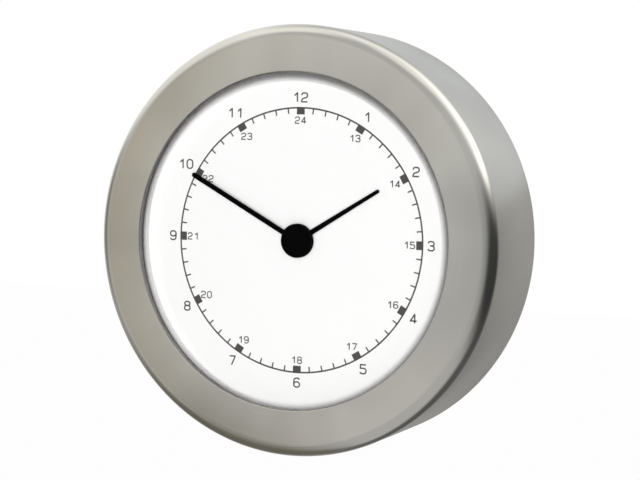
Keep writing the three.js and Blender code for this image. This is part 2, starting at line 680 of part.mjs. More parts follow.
function makeCoilBobbin() {
  const half = COIL_LENGTH / 2;
  const inner = half - COIL_FLANGE;
  const profile = [
    [0, -half], [COIL_RADIUS, -half], [COIL_RADIUS, -inner], [bobbinTube, -inner],
    [bobbinTube, inner], [COIL_RADIUS, inner], [COIL_RADIUS, half], [0, half],
  ];
  const spool = new THREE.LatheGeometry(profile.map(([r, y]) => new THREE.Vector2(r, y)), ROUND_SEGMENTS);
  const slotX = CORE_WIDTH / 2 + SEAT_GAP;
  const slotZ = CORE_THICKNESS / 2 + SEAT_GAP;
  const slot = box(-slotX, slotX, -COIL_LENGTH, COIL_LENGTH, -slotZ, slotZ);
  return cut(spool, slot).translate(coilX, rotorAt.y, coilZ);
}

function makeCoilWinding() {
  const inner = COIL_LENGTH / 2 - COIL_FLANGE - SEAT_GAP;
  const [low, high] = [bobbinTube + SEAT_GAP, COIL_RADIUS - SEAT_GAP];
  const profile = [[low, -inner], [high, -inner], [high, inner], [low, inner], [low, -inner]];
  const winding = new THREE.LatheGeometry(profile.map(([r, y]) => new THREE.Vector2(r, y)), ROUND_SEGMENTS);
  return winding.translate(coilX, rotorAt.y, coilZ);
}

// Movement case

const housingCorner = { left: -halfOutside, right: halfOutside, bottom: bayBottom - HOUSING_WALL };
housingCorner.top = chamberTop + HOUSING_WALL;

function housingBlock(low, high) {
  const { left, right, bottom, top } = housingCorner;
  return raised(roundedRectangle(left, right, bottom, top, HOUSING_CORNER), low, high, CORNER_SEGMENTS);
}

// Space for the train, inset from the walls by a gap.
function chamberShape(gap) {
  const corner = HOUSING_CORNER - HOUSING_WALL;
  const half = halfInside - gap;
  return roundedRectangle(-half, half, chamberBottom + gap, chamberTop - gap, corner);
}

function bayShape() {
  return roundedRectangle(-halfInside, halfInside, bayBottom, bayTop, HOUSING_CORNER - HOUSING_WALL);
}

const pivots = [ORIGIN, thirdAt, secondsAt, intermediateAt, rotorAt];

function pivotHole(at, low, high) {
  return disc(PIVOT_RADIUS + PIVOT_CLEARANCE, low, high, PIVOT_SEGMENTS).translate(at.x, at.y, 0);
}

function pillar(at, low, high) {
  return disc(POST_RADIUS, low, high).translate(at.x, at.y, 0);
}

// Front half: front wall with the bearings, side walls, ears, and the floor of the battery bay.
function makeMovementHousing() {
  const [low, high] = [middleTop, housingFront];
  const chamber = raised(chamberShape(0), low - SEAT_GAP, housingInside, CORNER_SEGMENTS);
  const bay = raised(bayShape(), low - SEAT_GAP, housingInside, CORNER_SEGMENTS);
  const earRadius = FOOT_RADIUS + EAR_THICKNESS;
  const ears = [1, -1].map((side) => {
    const root = { x: side * (halfOutside - earRadius), y: 0 };
    const end = { x: side * (footX - earRadius), y: 0 };
    const arm = raised(strip(root, end, 2 * earRadius), high - EAR_THICKNESS, high);
    return join(arm, disc(earRadius, high - EAR_THICKNESS, high).translate(side * footX, 0, 0));
  });
  const shell = cut(join(housingBlock(low, high), ...ears), chamber, bay);
  const wallMiddle = (housingInside + high) / 2;
  const stud = disc(MOTION_STUD_RADIUS, levelBottom(1), wallMiddle, PIVOT_SEGMENTS);
  const pillars = posts.map((at) => pillar(at, middleTop + SEAT_GAP, wallMiddle));
  const solid = join(shell, stud.translate(motionAt.x, motionAt.y, 0), ...pillars);
  const bearings = [...pivots.slice(1), settingAt];
  const holes = bearings.map((at) => pivotHole(at, housingInside - SEAT_GAP, high + SEAT_GAP));
  const tubeHole = disc(hourTubeRadius + RUNNING_GAP, housingInside - SEAT_GAP, high + SEAT_GAP);
  const footHoles = [1, -1].map((side) => {
    const hole = disc(FOOT_RADIUS + RADIAL_GAP, high - EAR_THICKNESS - SEAT_GAP, high + SEAT_GAP);
    return hole.translate(side * footX, 0, 0);
  });
  return cut(solid, tubeHole, ...holes, ...footHoles);
}

// Rear half: the battery bay goes right through it, so that the battery lifts out.
function makeMovementCover() {
  const [low, high] = [coverBack, middleTop - SEAT_GAP];
  const chamber = raised(chamberShape(0), coverInside, high + SEAT_GAP, CORNER_SEGMENTS);
  const bay = raised(bayShape(), low - SEAT_GAP, high + SEAT_GAP, CORNER_SEGMENTS);
  const wallMiddle = (low + coverInside) / 2;
  const pillars = posts.map((at) => pillar(at, wallMiddle, middleBottom - SEAT_GAP));
  const stands = boardStands.map((at) => pillar(at, wallMiddle, boardBottom - SEAT_GAP));
  const hole = disc(SETTING_SHAFT_RADIUS + RUNNING_GAP, low - SEAT_GAP, coverInside + SEAT_GAP);
  return cut(
    join(cut(housingBlock(low, high), chamber, bay), ...pillars, ...stands),
    hole.translate(settingAt.x, settingAt.y, 0),
  );
}

function makeMiddlePlate() {
  const plate = raised(chamberShape(RADIAL_GAP), middleBottom, middleTop, CORNER_SEGMENTS);
  const holes = pivots.map((at) => pivotHole(at, middleBottom - SEAT_GAP, middleTop + SEAT_GAP));
  const hole = disc(SETTING_SHAFT_RADIUS + RUNNING_GAP, middleBottom - SEAT_GAP, middleTop + SEAT_GAP);
  return cut(plate, ...holes, hole.translate(settingAt.x, settingAt.y, 0));
}

// Electronics

const boardBottom = coverInside + BOARD_STANDOFF;
const boardRight = halfInside - 2 * RADIAL_GAP;
const board = { left: boardRight - BOARD_WIDTH, right: boardRight, bottom: chamberBottom + 2 * postInset };
board.top = board.bottom + BOARD_HEIGHT;
const boardMiddle = { x: (board.left + board.right) / 2, y: (board.bottom + board.top) / 2 };
const boardStands = [
  { x: board.left + postInset, y: board.top - postInset },
  { x: board.right - postInset, y: board.bottom + postInset },
];

function makeCircuitBoard() {
  return box(board.left, board.right, board.bottom, board.top, boardBottom, boardBottom + BOARD_THICKNESS);
}

// Metal can lying under the board.
function makeCrystal() {
  const can = new THREE.CylinderGeometry(CRYSTAL_RADIUS, CRYSTAL_RADIUS, CRYSTAL_LENGTH, ROUND_SEGMENTS);
  const z = boardBottom - SEAT_GAP - CRYSTAL_RADIUS;
  return can.translate(boardMiddle.x, boardMiddle.y + CHIP_RADIUS + CRYSTAL_LENGTH / 2 + RADIAL_GAP, z);
}

// Drop of resin over the chip.
function makeChipCover() {
  const top = boardBottom - SEAT_GAP;
  const dome = turned([
    [0, top - CHIP_HEIGHT], [CHIP_RADIUS / 2, top - CHIP_HEIGHT * 0.85],
    [CHIP_RADIUS * 0.87, top - CHIP_HEIGHT * 0.45], [CHIP_RADIUS, top], [0, top],
  ]);
  return dome.translate(boardMiddle.x, boardMiddle.y, 0);
}

// Round cell lying across the movement, its button to the right.
function makeBattery() {
  const [left, right] = [-BATTERY_LENGTH / 2, BATTERY_LENGTH / 2];
  const neck = right - NUB_LENGTH;
  const end = batteryRadius - BATTERY_SHOULDER;
  const profile = [
    [0, left], [end, left], [batteryRadius, left + BATTERY_SHOULDER],
    [batteryRadius, neck - BATTERY_SHOULDER], [end, neck],
    [NUB_RADIUS, neck], [NUB_RADIUS, right], [0, right],
  ];
  const cell = new THREE.LatheGeometry(profile.map(([r, y]) => new THREE.Vector2(r, y)), ROUND_SEGMENTS);
  return cell.rotateZ(-Math.PI / 2).translate(0, batteryY, batteryZ);
}

// Flat strip against the bay's end wall.
function makePositiveContact() {
  const right = halfInside - SEAT_GAP;
  const half = CONTACT_WIDTH / 2;
  const [low, high] = [batteryZ - half, batteryZ + half];
  return box(right - CONTACT_THICKNESS, right, batteryY - half, batteryY + half, low, high);
}

// Bowed strip that springs the battery towards the other contact.
function makeNegativeContact() {
  const wall = -halfInside + SEAT_GAP;
  const rise = -BATTERY_LENGTH / 2 - RADIAL_GAP - wall - CONTACT_THICKNESS;
  const half = CONTACT_WIDTH / 2;
  const bow = (x, y) => new THREE.Vector2(x, batteryY + y);
  const inner = new THREE.QuadraticBezierCurve(bow(wall, -half), bow(wall + 2 * rise, 0), bow(wall, half));
  const points = inner.getPoints(TIP_SEGMENTS);
  const outer = points.map((point) => new THREE.Vector2(point.x + CONTACT_THICKNESS, point.y)).reverse();
  const shape = new THREE.Shape([...points, ...outer]);
  return raised(shape, batteryZ - CONTACT_WIDTH / 2, batteryZ + CONTACT_WIDTH / 2);
}

function makeFixingNut(side) {
  const shape = new THREE.Shape();
  const corner = NUT_ACROSS_FLATS / 2 / Math.cos(Math.PI / 6);
  shape.setFromPoints(Array.from({ length: 6 }, (_, i) =>
    new THREE.Vector2(corner * Math.cos((Math.PI * i) / 3), corner * Math.sin((Math.PI * i) / 3))));
  shape.holes.push(circle(FOOT_RADIUS + PRESS_GAP));
  const top = housingFront - EAR_THICKNESS - SEAT_GAP;
  return raised(shape, top - NUT_THICKNESS, top).translate(side * footX, 0, 0);
}

// Finishes

function finish(color, roughness, metalness = 0) {
  return () => new THREE.MeshStandardMaterial({ color, roughness, metalness });
}

const steel = finish(0xaaa79c, 0.42, 1);
const blackPlastic = finish(0x1b1b1c, 0.55);
const whitePlastic = finish(0xe9e7e0, 0.5);
const greyPlastic = finish(0x55585c, 0.55);
const rubber = finish(0x161616, 0.8);
const brass = finish(0xb99a55, 0.35, 1);
const iron = finish(0x8d8f92, 0.45, 1);
const copper = finish(0xb4643a, 0.4, 1);
const dialWhite = finish(0xf4f4f1, 0.6);
const handBlack = finish(0x121213, 0.45);
const boardGreen = finish(0x2f5d3a, 0.6);
const springSteel = finish(0xc4c6c8, 0.3, 1);

// Assembly: each moving set is its own group

const clock = new THREE.Group();

function group(at = ORIGIN, clockwise = 0) {
  const set = new THREE.Group();
  set.position.set(at.x, at.y, 0);
  set.rotation.z = -rad(clockwise);
  clock.add(set);
  return set;
}

function piece(set, name, geometry, material) {
  const mesh = new THREE.Mesh(geometry, material());
  mesh.name = name;
  set.add(mesh);
}

const wall = group();
piece(wall, "base_plate", makeBasePlate(), blackPlastic);

const body = group();
piece(body, "case_shell", makeCaseShell(), steel);
piece(body, "glass_gasket", makeGasket(), rubber);
piece(body, "front_glass", disc(stackRadius, glassBottom, glassTop, RING_SEGMENTS), finish(0xf2f6f5, 0.05));
piece(body, "spacer_ring", makeSpacer(), whitePlastic);
piece(body, "dial", makeDial(), dialWhite);
piece(body, "carrier_ring", makeCarrierRing(), blackPlastic);
piece(body, "movement_housing", makeMovementHousing(), blackPlastic);
piece(body, "movement_cover", makeMovementCover(), blackPlastic);
piece(body, "middle_plate", makeMiddlePlate(), greyPlastic);
piece(body, "fixing_nut_left", makeFixingNut(-1), brass);
piece(body, "fixing_nut_right", makeFixingNut(1), brass);
piece(body, "stator", makeStator(), iron);
piece(body, "coil_core", makeCoilCore(), iron);
piece(body, "coil_bobbin", makeCoilBobbin(), greyPlastic);
piece(body, "coil_winding", makeCoilWinding(), copper);
piece(body, "circuit_board", makeCircuitBoard(), boardGreen);
piece(body, "quartz_crystal", makeCrystal(), springSteel);
piece(body, "chip_cover", makeChipCover(), blackPlastic);
piece(body, "battery", makeBattery(), springSteel);
piece(body, "positive_contact", makePositiveContact(), springSteel);
piece(body, "negative_contact", makeNegativeContact(), springSteel);

const minuteSet = group();
piece(minuteSet, "minute_arbor", makeMinuteArbor(), brass);
piece(minuteSet, "clutch_spring", makeClutchSpring(), springSteel);
piece(group(ORIGIN, MINUTE_HAND_ANGLE), "minute_hand", makeMinuteHand(), handBlack);

piece(group(), "hour_wheel", makeHourWheel(), whitePlastic);
piece(group(ORIGIN, HOUR_HAND_ANGLE), "hour_hand", makeHourHand(), handBlack);
piece(group(motionAt), "motion_wheel", makeMotionWheel(), whitePlastic);

const settingSet = group(settingAt);
piece(settingSet, "setting_arbor", makeSettingArbor(), whitePlastic);
piece(settingSet, "setting_knob", makeSettingKnob(), greyPlastic);

piece(group(), "centre_wheel", makeCentreWheel(), brass);
piece(group(thirdAt), "third_wheel", makeThirdWheel(), whitePlastic);
piece(group(secondsAt), "seconds_wheel", makeSecondsWheel(), whitePlastic);
piece(group(intermediateAt), "intermediate_wheel", makeIntermediateWheel(), whitePlastic);

const rotorSet = group(rotorAt);
piece(rotorSet, "rotor_arbor", makeRotorArbor(), whitePlastic);
piece(rotorSet, "rotor_magnet", makeRotorMagnet(), iron);

clock.rotation.x = Math.PI / 2;

export default clock;
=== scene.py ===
# %% [markdown]
# # A ship's clock in brushed steel
#
# This lesson dresses a finished clock model for a studio portrait. The construction already
# exists as a frame of plain solids: it fixes every size, and nothing here moves or resizes it.
# What is left to us is what the eye meets: smooth turned metal, a printed dial, lacquered hands
# and clear glass.

# %% Load the frame
import math

import bmesh
import bpy
from mathutils import Matrix, Vector


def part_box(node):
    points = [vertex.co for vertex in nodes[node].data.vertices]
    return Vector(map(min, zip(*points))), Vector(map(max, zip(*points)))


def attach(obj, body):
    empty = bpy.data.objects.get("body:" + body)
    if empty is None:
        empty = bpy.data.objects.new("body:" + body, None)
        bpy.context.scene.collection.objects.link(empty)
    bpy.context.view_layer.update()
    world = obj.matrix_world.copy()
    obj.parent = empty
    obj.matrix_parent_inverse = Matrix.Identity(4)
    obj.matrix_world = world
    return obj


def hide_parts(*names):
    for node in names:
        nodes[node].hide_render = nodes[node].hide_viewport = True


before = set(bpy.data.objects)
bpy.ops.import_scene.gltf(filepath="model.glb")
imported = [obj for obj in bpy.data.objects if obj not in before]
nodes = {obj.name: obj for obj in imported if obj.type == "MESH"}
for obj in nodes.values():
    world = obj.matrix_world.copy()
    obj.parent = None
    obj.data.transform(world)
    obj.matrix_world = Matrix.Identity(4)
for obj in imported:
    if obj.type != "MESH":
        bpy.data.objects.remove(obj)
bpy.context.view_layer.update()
scene = bpy.context.scene
scene.view_settings.view_transform = "Standard"

# %% [markdown]
# ## The bench and the wall
#
# A clockmaker works with the dial facing up. We do the same: each piece is drawn in millimetres,
# x to the right, y to twelve o'clock and z towards the viewer, with z = 0 on the wall. Drawing the
# pieces upright would work too, but every section would be read sideways. One matrix hangs the
# finished mesh on the wall, in metres, with the dial facing -Y. The object itself stays at the
# origin, so patterns that read Object coordinates never slide.

# %% Sizes read from the frame
MM = 0.001
BENCH_TO_WALL = Matrix.Rotation(math.radians(90), 4, "X") @ Matrix.Scale(MM, 4)


def radius_of(node):
    """Half the width of a round node, in millimetres."""
    low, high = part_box(node)
    return (high.x - low.x) / 2 / MM


def heights_of(node):
    """Lowest and highest point of a node off the wall, in millimetres."""
    low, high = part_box(node)
    return -high.y / MM, -low.y / MM


case_radius = radius_of("case_shell")
case_back, case_front = heights_of("case_shell")
stack_radius = radius_of("front_glass")
glass_back, glass_front = heights_of("front_glass")
dial_front = heights_of("dial")[1]
print(f"case {2 * case_radius:.1f} mm across, front {case_front:.1f} mm off the wall")

# %% [markdown]
# ## A socket that understands sums
#
# Node trees are graphs, but most of what we want to say is arithmetic. Math nodes could be added
# and linked one by one, at several lines a sum. The class below wraps a socket instead, so that
# `1 - mask` or `radius * 40` adds the Math node by itself. Every other node comes from one method.
# The same class serves shaders and Geometry Nodes, since both use these trees.


# %% Wires
class Wire:
    def __init__(self, tree, socket=None):
        self.tree = tree
        self.socket = socket

    def node(self, kind, inputs=None, output=0, **settings):
        """Adds a node: its settings first, then the values or links of its sockets."""
        made = self.tree.nodes.new(kind)
        for name, value in settings.items():
            setattr(made, name, value)
        for key, value in (inputs or {}).items():
            self.feed(made.inputs[key], value)
        return Wire(self.tree, made.outputs[output])

    def feed(self, socket, value):
        """Links a wire to a socket, or sets a plain value on it."""
        if isinstance(value, Wire):
            self.tree.links.new(value.socket, socket)
        else:
            socket.default_value = value

    def math(self, operation, *others):
        """Adds a Math node whose first value is this wire."""
        return self.node("ShaderNodeMath", dict(enumerate((self, *others))), operation=operation)

    def __add__(self, other):
        return self.math("ADD", other)

    def __sub__(self, other):
        return self.math("SUBTRACT", other)

    def __rsub__(self, other):
        return self.node("ShaderNodeMath", {0: other, 1: self}, operation="SUBTRACT")

    def __mul__(self, other):
        return self.math("MULTIPLY", other)

    def __truediv__(self, other):
        return self.math("DIVIDE", other)

    __radd__ = __add__
    __rmul__ = __mul__


print("wires understand + - * / and one node method")

# %% [markdown]
# ## The studio
#
# The clock is photographed a little from its right and from just above, with a long lens. A
# constraint could aim the camera, but it would lose the small roll of a hand-held frame, so the
# camera is built from its three axes. The lens has no shift, and depth of field stays off.

# %% Camera
CAMERA_AZIMUTH = math.radians(23.857)
CAMERA_ELEVATION = math.radians(3.445)
CAMERA_ROLL = math.radians(0.924)
CAMERA_DISTANCE = 540.45
CAMERA_LENS = 120.18
SENSOR_WIDTH = 36
NEAR_LIMIT = 0.01
AIM_RIGHT = 7.921
AIM_UP = 0.441


def make_camera():
    sine, cosine = math.sin(CAMERA_AZIMUTH), math.cos(CAMERA_AZIMUTH)
    level = math.cos(CAMERA_ELEVATION)
    towards = Vector((sine * level, -cosine * level, math.sin(CAMERA_ELEVATION)))
    flat_right = Vector((cosine, sine, 0))
    flat_up = towards.cross(flat_right)
    right = flat_right * math.cos(CAMERA_ROLL) + flat_up * math.sin(CAMERA_ROLL)
    up = flat_up * math.cos(CAMERA_ROLL) - flat_right * math.sin(CAMERA_ROLL)
    front_centre = Vector((0, -case_front, 0))
    place = (front_centre + right * AIM_RIGHT + up * AIM_UP + towards * CAMERA_DISTANCE) * MM
    turn = Matrix((right, up, towards)).transposed().to_4x4()
    camera = bpy.data.objects.new("portrait_camera", bpy.data.cameras.new("portrait_camera"))
    camera.matrix_world = Matrix.Translation(place) @ turn
    camera.data.lens = CAMERA_LENS
    camera.data.sensor_width = SENSOR_WIDTH
    camera.data.clip_start = NEAR_LIMIT
    scene.collection.objects.link(camera)
    scene.camera = camera
    return camera


camera = make_camera()
print("camera at", [round(x, 3) for x in camera.location], "lens", camera.data.lens)

# %% [markdown]
# Metal has almost no colour of its own: it shows the room. So the clock stands in a light tent, a
# round shell that only mirror-like surfaces can see. A picture of a studio would do as well, but
# named patches can be moved one at a time. Each has a colour, a level, a direction and a size, and
# fades from its core to its edge. A later patch lies over the earlier ones.

# %% Patches of the tent
PLAIN_GREY = (1.0, 0.99, 0.95)
WARM_GREY = (1.0, 0.935, 0.765)
CREAM = (1.0, 0.985, 0.92)
CLEAR_WHITE = (1.0, 1.0, 0.98)
COOL_GREY = (0.98, 1.0, 0.985)
DUN_GREY = (1.0, 0.98, 0.925)
BLUSH = (1.0, 0.955, 0.91)
TENT_LEVEL = 0.62
# colour, level, then in degrees: azimuth (0 faces the dial, 90 is its right), elevation,
# half width, half height; last the share of the patch that has its full level
TENT_PATCHES = {
    "left window": (CLEAR_WHITE, 1.08, -130, 27, 55, 40, 0.3),
    "left cloth": (CREAM, 1.12, -85, 45, 62, 36, 0.45),
    "far wall": (COOL_GREY, 0.69, 175, 22, 52, 29, 0.6),
    "roof": (CREAM, 1.3, 0, 90, 720, 30, 0.2),
    "roof, left front": (CREAM, 1.25, -50, 61, 46, 20, 0.4),
    "roof, right front": (CREAM, 1.2, 40, 64, 45, 22, 0.3),
    "left gap": (WARM_GREY, 0.29, -82, -2, 26, 22, 0.25),
    "left floor": (WARM_GREY, 0.19, -85, -66, 85, 60, 0.5),
    "front, high": (CREAM, 0.78, -18, 12, 26, 24, 0.2),
    "camera": (COOL_GREY, 0.48, -12, -4, 10, 8, 0.2),
    "front, left": (WARM_GREY, 0.57, -38, 2, 12.5, 26, 0.6),
    "front, low": (BLUSH, 0.82, -17, -15, 12, 12, 0.2),
    "stand": (WARM_GREY, 0.25, -29, -20, 10, 13, 0.2),
    "stand, foot": (WARM_GREY, 0.28, -38, -38, 27, 14, 0.35),
    "front, right": (COOL_GREY, 0.42, 12, -4, 26, 14, 0.2),
    "far right, low": (DUN_GREY, 0.415, 165, -26, 50, 36, 0.85),
    "far right, foot": (PLAIN_GREY, 0.34, 172, -40, 55, 34, 0.3),
    "far floor": (COOL_GREY, 0.16, 180, -72, 60, 28, 0.4),
    "right floor": (COOL_GREY, 0.13, 125, -52, 78, 45, 0.45),
    "right flag": (COOL_GREY, 0.05, 85, -9, 80, 40, 0.4),
    "right soft box": (CREAM, 1.8, 106, 52, 72, 50, 0.1),
    "right soft box, hem": (CREAM, 1.8, 111, 28, 48, 11.5, 0.5),
}
print("tent:", len(TENT_PATCHES), "patches on a grey of", TENT_LEVEL)

# %% Tent cloth
DEGREES = math.degrees(1)


def scaled(level, colour):
    """A colour at a level, with its alpha."""
    return (*(level * share for share in colour), 1)


def blend(factor, first, second):
    """Mixes two colours by a wire from 0 to 1. The node's sockets 6 and 7 take the colours."""
    return factor.node("ShaderNodeMix", {0: factor, 6: first, 7: second}, output=2, data_type="RGBA")


def ramp(value, start, end, top=1.0):
    """Rises softly from 0 at start to the top value at end."""
    return value.node("ShaderNodeMapRange", {0: value, 1: start, 2: end, 4: top},
                      interpolation_type="SMOOTHSTEP")


def make_tent_cloth():
    material = bpy.data.materials.new("tent_cloth")
    material.use_nodes = True
    tree = material.node_tree
    tree.nodes.remove(tree.nodes["Principled BSDF"])
    wire = Wire(tree)
    place = wire.node("ShaderNodeTexCoord", output="Object")
    out = wire.node("ShaderNodeVectorMath", {0: place}, operation="NORMALIZE")
    x, y, z = (out.node("ShaderNodeSeparateXYZ", {0: out}, output=axis) for axis in range(3))
    azimuth = x.math("ARCTAN2", y * -1) * DEGREES
    elevation = z.math("ARCSINE") * DEGREES
    light = scaled(TENT_LEVEL, PLAIN_GREY)
    for colour, level, side, up, half_width, half_height, core in TENT_PATCHES.values():
        across = (azimuth - side).math("WRAP", 180.0, -180.0) / half_width
        along = (elevation - up) / half_height
        away = (across * across + along * along).math("SQRT")
        light = blend(ramp(away, 1.0, core), light, scaled(level, colour))
    glow = wire.node("ShaderNodeEmission", {"Color": light, "Strength": 1.0})
    wire.feed(tree.nodes["Material Output"].inputs["Surface"], glow)
    return material


tent_cloth = make_tent_cloth()
print("tent cloth:", len(tent_cloth.node_tree.nodes), "nodes")

# %% Tent shell
TENT_RADIUS = 0.5
TENT_FINENESS = 5


def closed_mesh(name, build):
    """Turns the faces of a finished bmesh outwards and makes a mesh of it."""
    bmesh.ops.recalc_face_normals(build, faces=build.faces)
    mesh = bpy.data.meshes.new(name)
    build.to_mesh(mesh)
    build.free()
    return mesh


def make_tent():
    build = bmesh.new()
    bmesh.ops.create_icosphere(build, subdivisions=TENT_FINENESS, radius=TENT_RADIUS)
    mesh = closed_mesh("light_tent", build)
    mesh.materials.append(tent_cloth)
    tent = bpy.data.objects.new("light_tent", mesh)
    for sense in ("camera", "diffuse", "shadow", "transmission", "volume_scatter"):
        setattr(tent, "visible_" + sense, False)
    scene.collection.objects.link(tent)


make_tent()
print("tent", TENT_RADIUS, "m in radius, seen by mirrors only")

# %% [markdown]
# The background is pure white. Strong lamps on a white floor would give that, but they would wash
# out the clock. So world and floor are white only to rays that look straight at them, from the
# camera or by way of metal and glass, and they give soft light at a lower level. The floor is a
# pale matt sheet that keeps a trace of its own shading, so a shadow can still fall on it.

# %% White world
WHITE = (1, 1, 1, 1)
WORLD_LEVEL = 0.18


def seen_directly(wire):
    """One for camera, mirror and glass rays, zero for soft bounced light."""
    eye, mirror, glass = (wire.node("ShaderNodeLightPath", output=f"Is {kind} Ray")
                          for kind in ("Camera", "Glossy", "Transmission"))
    return eye.math("MAXIMUM", mirror).math("MAXIMUM", glass)


def make_world():
    world = bpy.data.worlds.new("white_sweep")
    world.use_nodes = True
    background = world.node_tree.nodes["Background"]
    background.inputs["Color"].default_value = WHITE
    wire = Wire(world.node_tree)
    direct = seen_directly(wire)
    wire.feed(background.inputs["Strength"], direct + (1 - direct) * WORLD_LEVEL)
    scene.world = world


make_world()
print("world level", WORLD_LEVEL)

# %% Pale floor
FLOOR_DROP = 0.6
FLOOR_HALF = 6.0
FLOOR_GREY = (0.70, 0.70, 0.70, 1)
FLOOR_ROUGHNESS = 0.9
FLOOR_WHITE = 0.985


def make_floor():
    material = bpy.data.materials.new("pale_floor")
    material.use_nodes = True
    tree = material.node_tree
    shader = tree.nodes["Principled BSDF"]
    shader.inputs["Base Color"].default_value = FLOOR_GREY
    shader.inputs["Roughness"].default_value = FLOOR_ROUGHNESS
    wire = Wire(tree)
    white = wire.node("ShaderNodeEmission", {"Color": WHITE, "Strength": 1.0})
    matt = Wire(tree, shader.outputs[0])
    surface = wire.node("ShaderNodeMixShader", {0: seen_directly(wire) * FLOOR_WHITE, 1: matt, 2: white})
    wire.feed(tree.nodes["Material Output"].inputs["Surface"], surface)
    mesh = bpy.data.meshes.new("floor")
    square = ((-1, -1), (1, -1), (1, 1), (-1, 1))
    mesh.from_pydata([(x * FLOOR_HALF, y * FLOOR_HALF, -FLOOR_DROP) for x, y in square], [], [range(4)])
    mesh.materials.append(material)
    floor = bpy.data.objects.new("floor", mesh)
    scene.collection.objects.link(floor)


make_floor()
print("floor", FLOOR_DROP, "m below the clock")

# %% [markdown]
# One wide lamp in front lights what isn't metal: dial, print and hands. A sun would do, but its
# shadow of the hands would be hard. The metal doesn't see the lamp, since it has the tent.

# %% Front lamp
LAMP_PLACE = Vector((0.45, -1.74, 0.10))
LAMP_SIZE = 1.1
LAMP_POWER = 28.9


def make_lamp():
    light = bpy.data.lights.new("front_light", "AREA")
    light.size = LAMP_SIZE
    light.energy = LAMP_POWER
    lamp = bpy.data.objects.new("front_light", light)
    lamp.location = LAMP_PLACE
    lamp.rotation_euler = (-LAMP_PLACE).to_track_quat("-Z", "Y").to_euler()
    lamp.visible_glossy = False
    scene.collection.objects.link(lamp)


make_lamp()
print("lamp of", LAMP_POWER, "W,", round(LAMP_PLACE.length, 2), "m away")

# %% [markdown]
# ## Finishes
#
# Each finish is one Principled shader. What is the same all over is set on the shader's own
# socket. What varies is worked out from Object coordinates, so that it needs no unwrapping, and
# is fed to colour, roughness or normal.


# %% Starting a finish
def new_finish(name, **constants):
    """A material, a wire into its tree and its shader, with the even values already set."""
    material = bpy.data.materials.new(name)
    material.use_nodes = True
    shader = material.node_tree.nodes["Principled BSDF"]
    for socket, value in constants.items():
        shader.inputs[socket.replace("_", " ")].default_value = value
    return material, Wire(material.node_tree), shader


def noise(vector, scale, detail):
    return vector.node("ShaderNodeTexNoise", {"Vector": vector, "Scale": scale, "Detail": detail})


def grain(wire, per_mm, detail=2.0):
    """Even noise all through the object, with so many grains to a millimetre."""
    return noise(wire.node("ShaderNodeTexCoord", output="Object"), per_mm / MM, detail)


def shade(wire, shader, pattern, dark, pale):
    """Lets a pattern move the colour."""
    wire.feed(shader.inputs["Base Color"], blend(pattern, dark, pale))


def gloss(wire, shader, pattern, smooth, rough):
    """Lets a pattern move the roughness."""
    wire.feed(shader.inputs["Roughness"], smooth + pattern * (rough - smooth))


def emboss(wire, shader, pattern, depth, strength):
    """Lets a pattern bend the normal, with its depth in millimetres."""
    bump = wire.node("ShaderNodeBump", {"Height": pattern, "Distance": depth * MM, "Strength": strength})
    wire.feed(shader.inputs["Normal"], bump)


print("finish helpers ready")

# %% [markdown]
# The case is drawn stainless steel, brushed on a lathe: the scratches run round the clock. The
# shader's anisotropy could smear the light along them, but an export drops it where its direction
# varies. So the pattern is a noise, very fine across the scratches and very long along them, that
# moves colour, roughness and normal a little. A second, slow noise runs round the axis and paints
# broad paler and darker sectors into the colour. This is a painted sheen, in place of the spokes of
# light that lathe brushing reflects. Inside the lip the colour is painted dark as painted shade,
# where lip and glass meet, and the roughness is raised there.

# %% Brushed steel
OPENING_RADIUS = 43.0
STEEL_DARK, STEEL_PALE = (0.468, 0.461, 0.442, 1), (0.783, 0.778, 0.757, 1)
STEEL_ROUGHNESS, SCRATCH_ROUGHNESS, LIP_INSIDE_ROUGHNESS = 0.14, 0.12, 0.3
SCRATCHES_PER_MM, SCRATCHES_PER_RADIAN, SCRATCH_SHARE = 9, 2.2, 0.15
# Painted sheen: slow sectors round the axis paint paler and darker spokes into the steel's colour.
SHEEN_SECTORS, SHEEN_SECTOR_DRIFT, SHEEN_SECTOR_SEED = 2.6, 0.02, 4.0
# Painted shade: the colour of the steel inside the lip, where lip and glass meet.
LIP_SHADE_COLOUR = (0.30, 0.285, 0.275, 1)
LIP_SHADE_MARGIN = 0.05


def millimetres(wire):
    """Object coordinates as three wires, in millimetres."""
    place = wire.node("ShaderNodeTexCoord", output="Object")
    split = place.node("ShaderNodeSeparateXYZ", {0: place})
    return [Wire(wire.tree, socket) / MM for socket in split.socket.node.outputs]


def from_axis(wire, left=0.0, down=0.0):
    """Right, up, radius and height on the clock, from an axis moved left and down."""
    x, y, z = millimetres(wire)
    right, up = x + left, z + down
    return right, up, (right * right + up * up).math("SQRT"), y * -1


def point(wire, x, y, z):
    return wire.node("ShaderNodeCombineXYZ", {0: x, 1: y, 2: z})


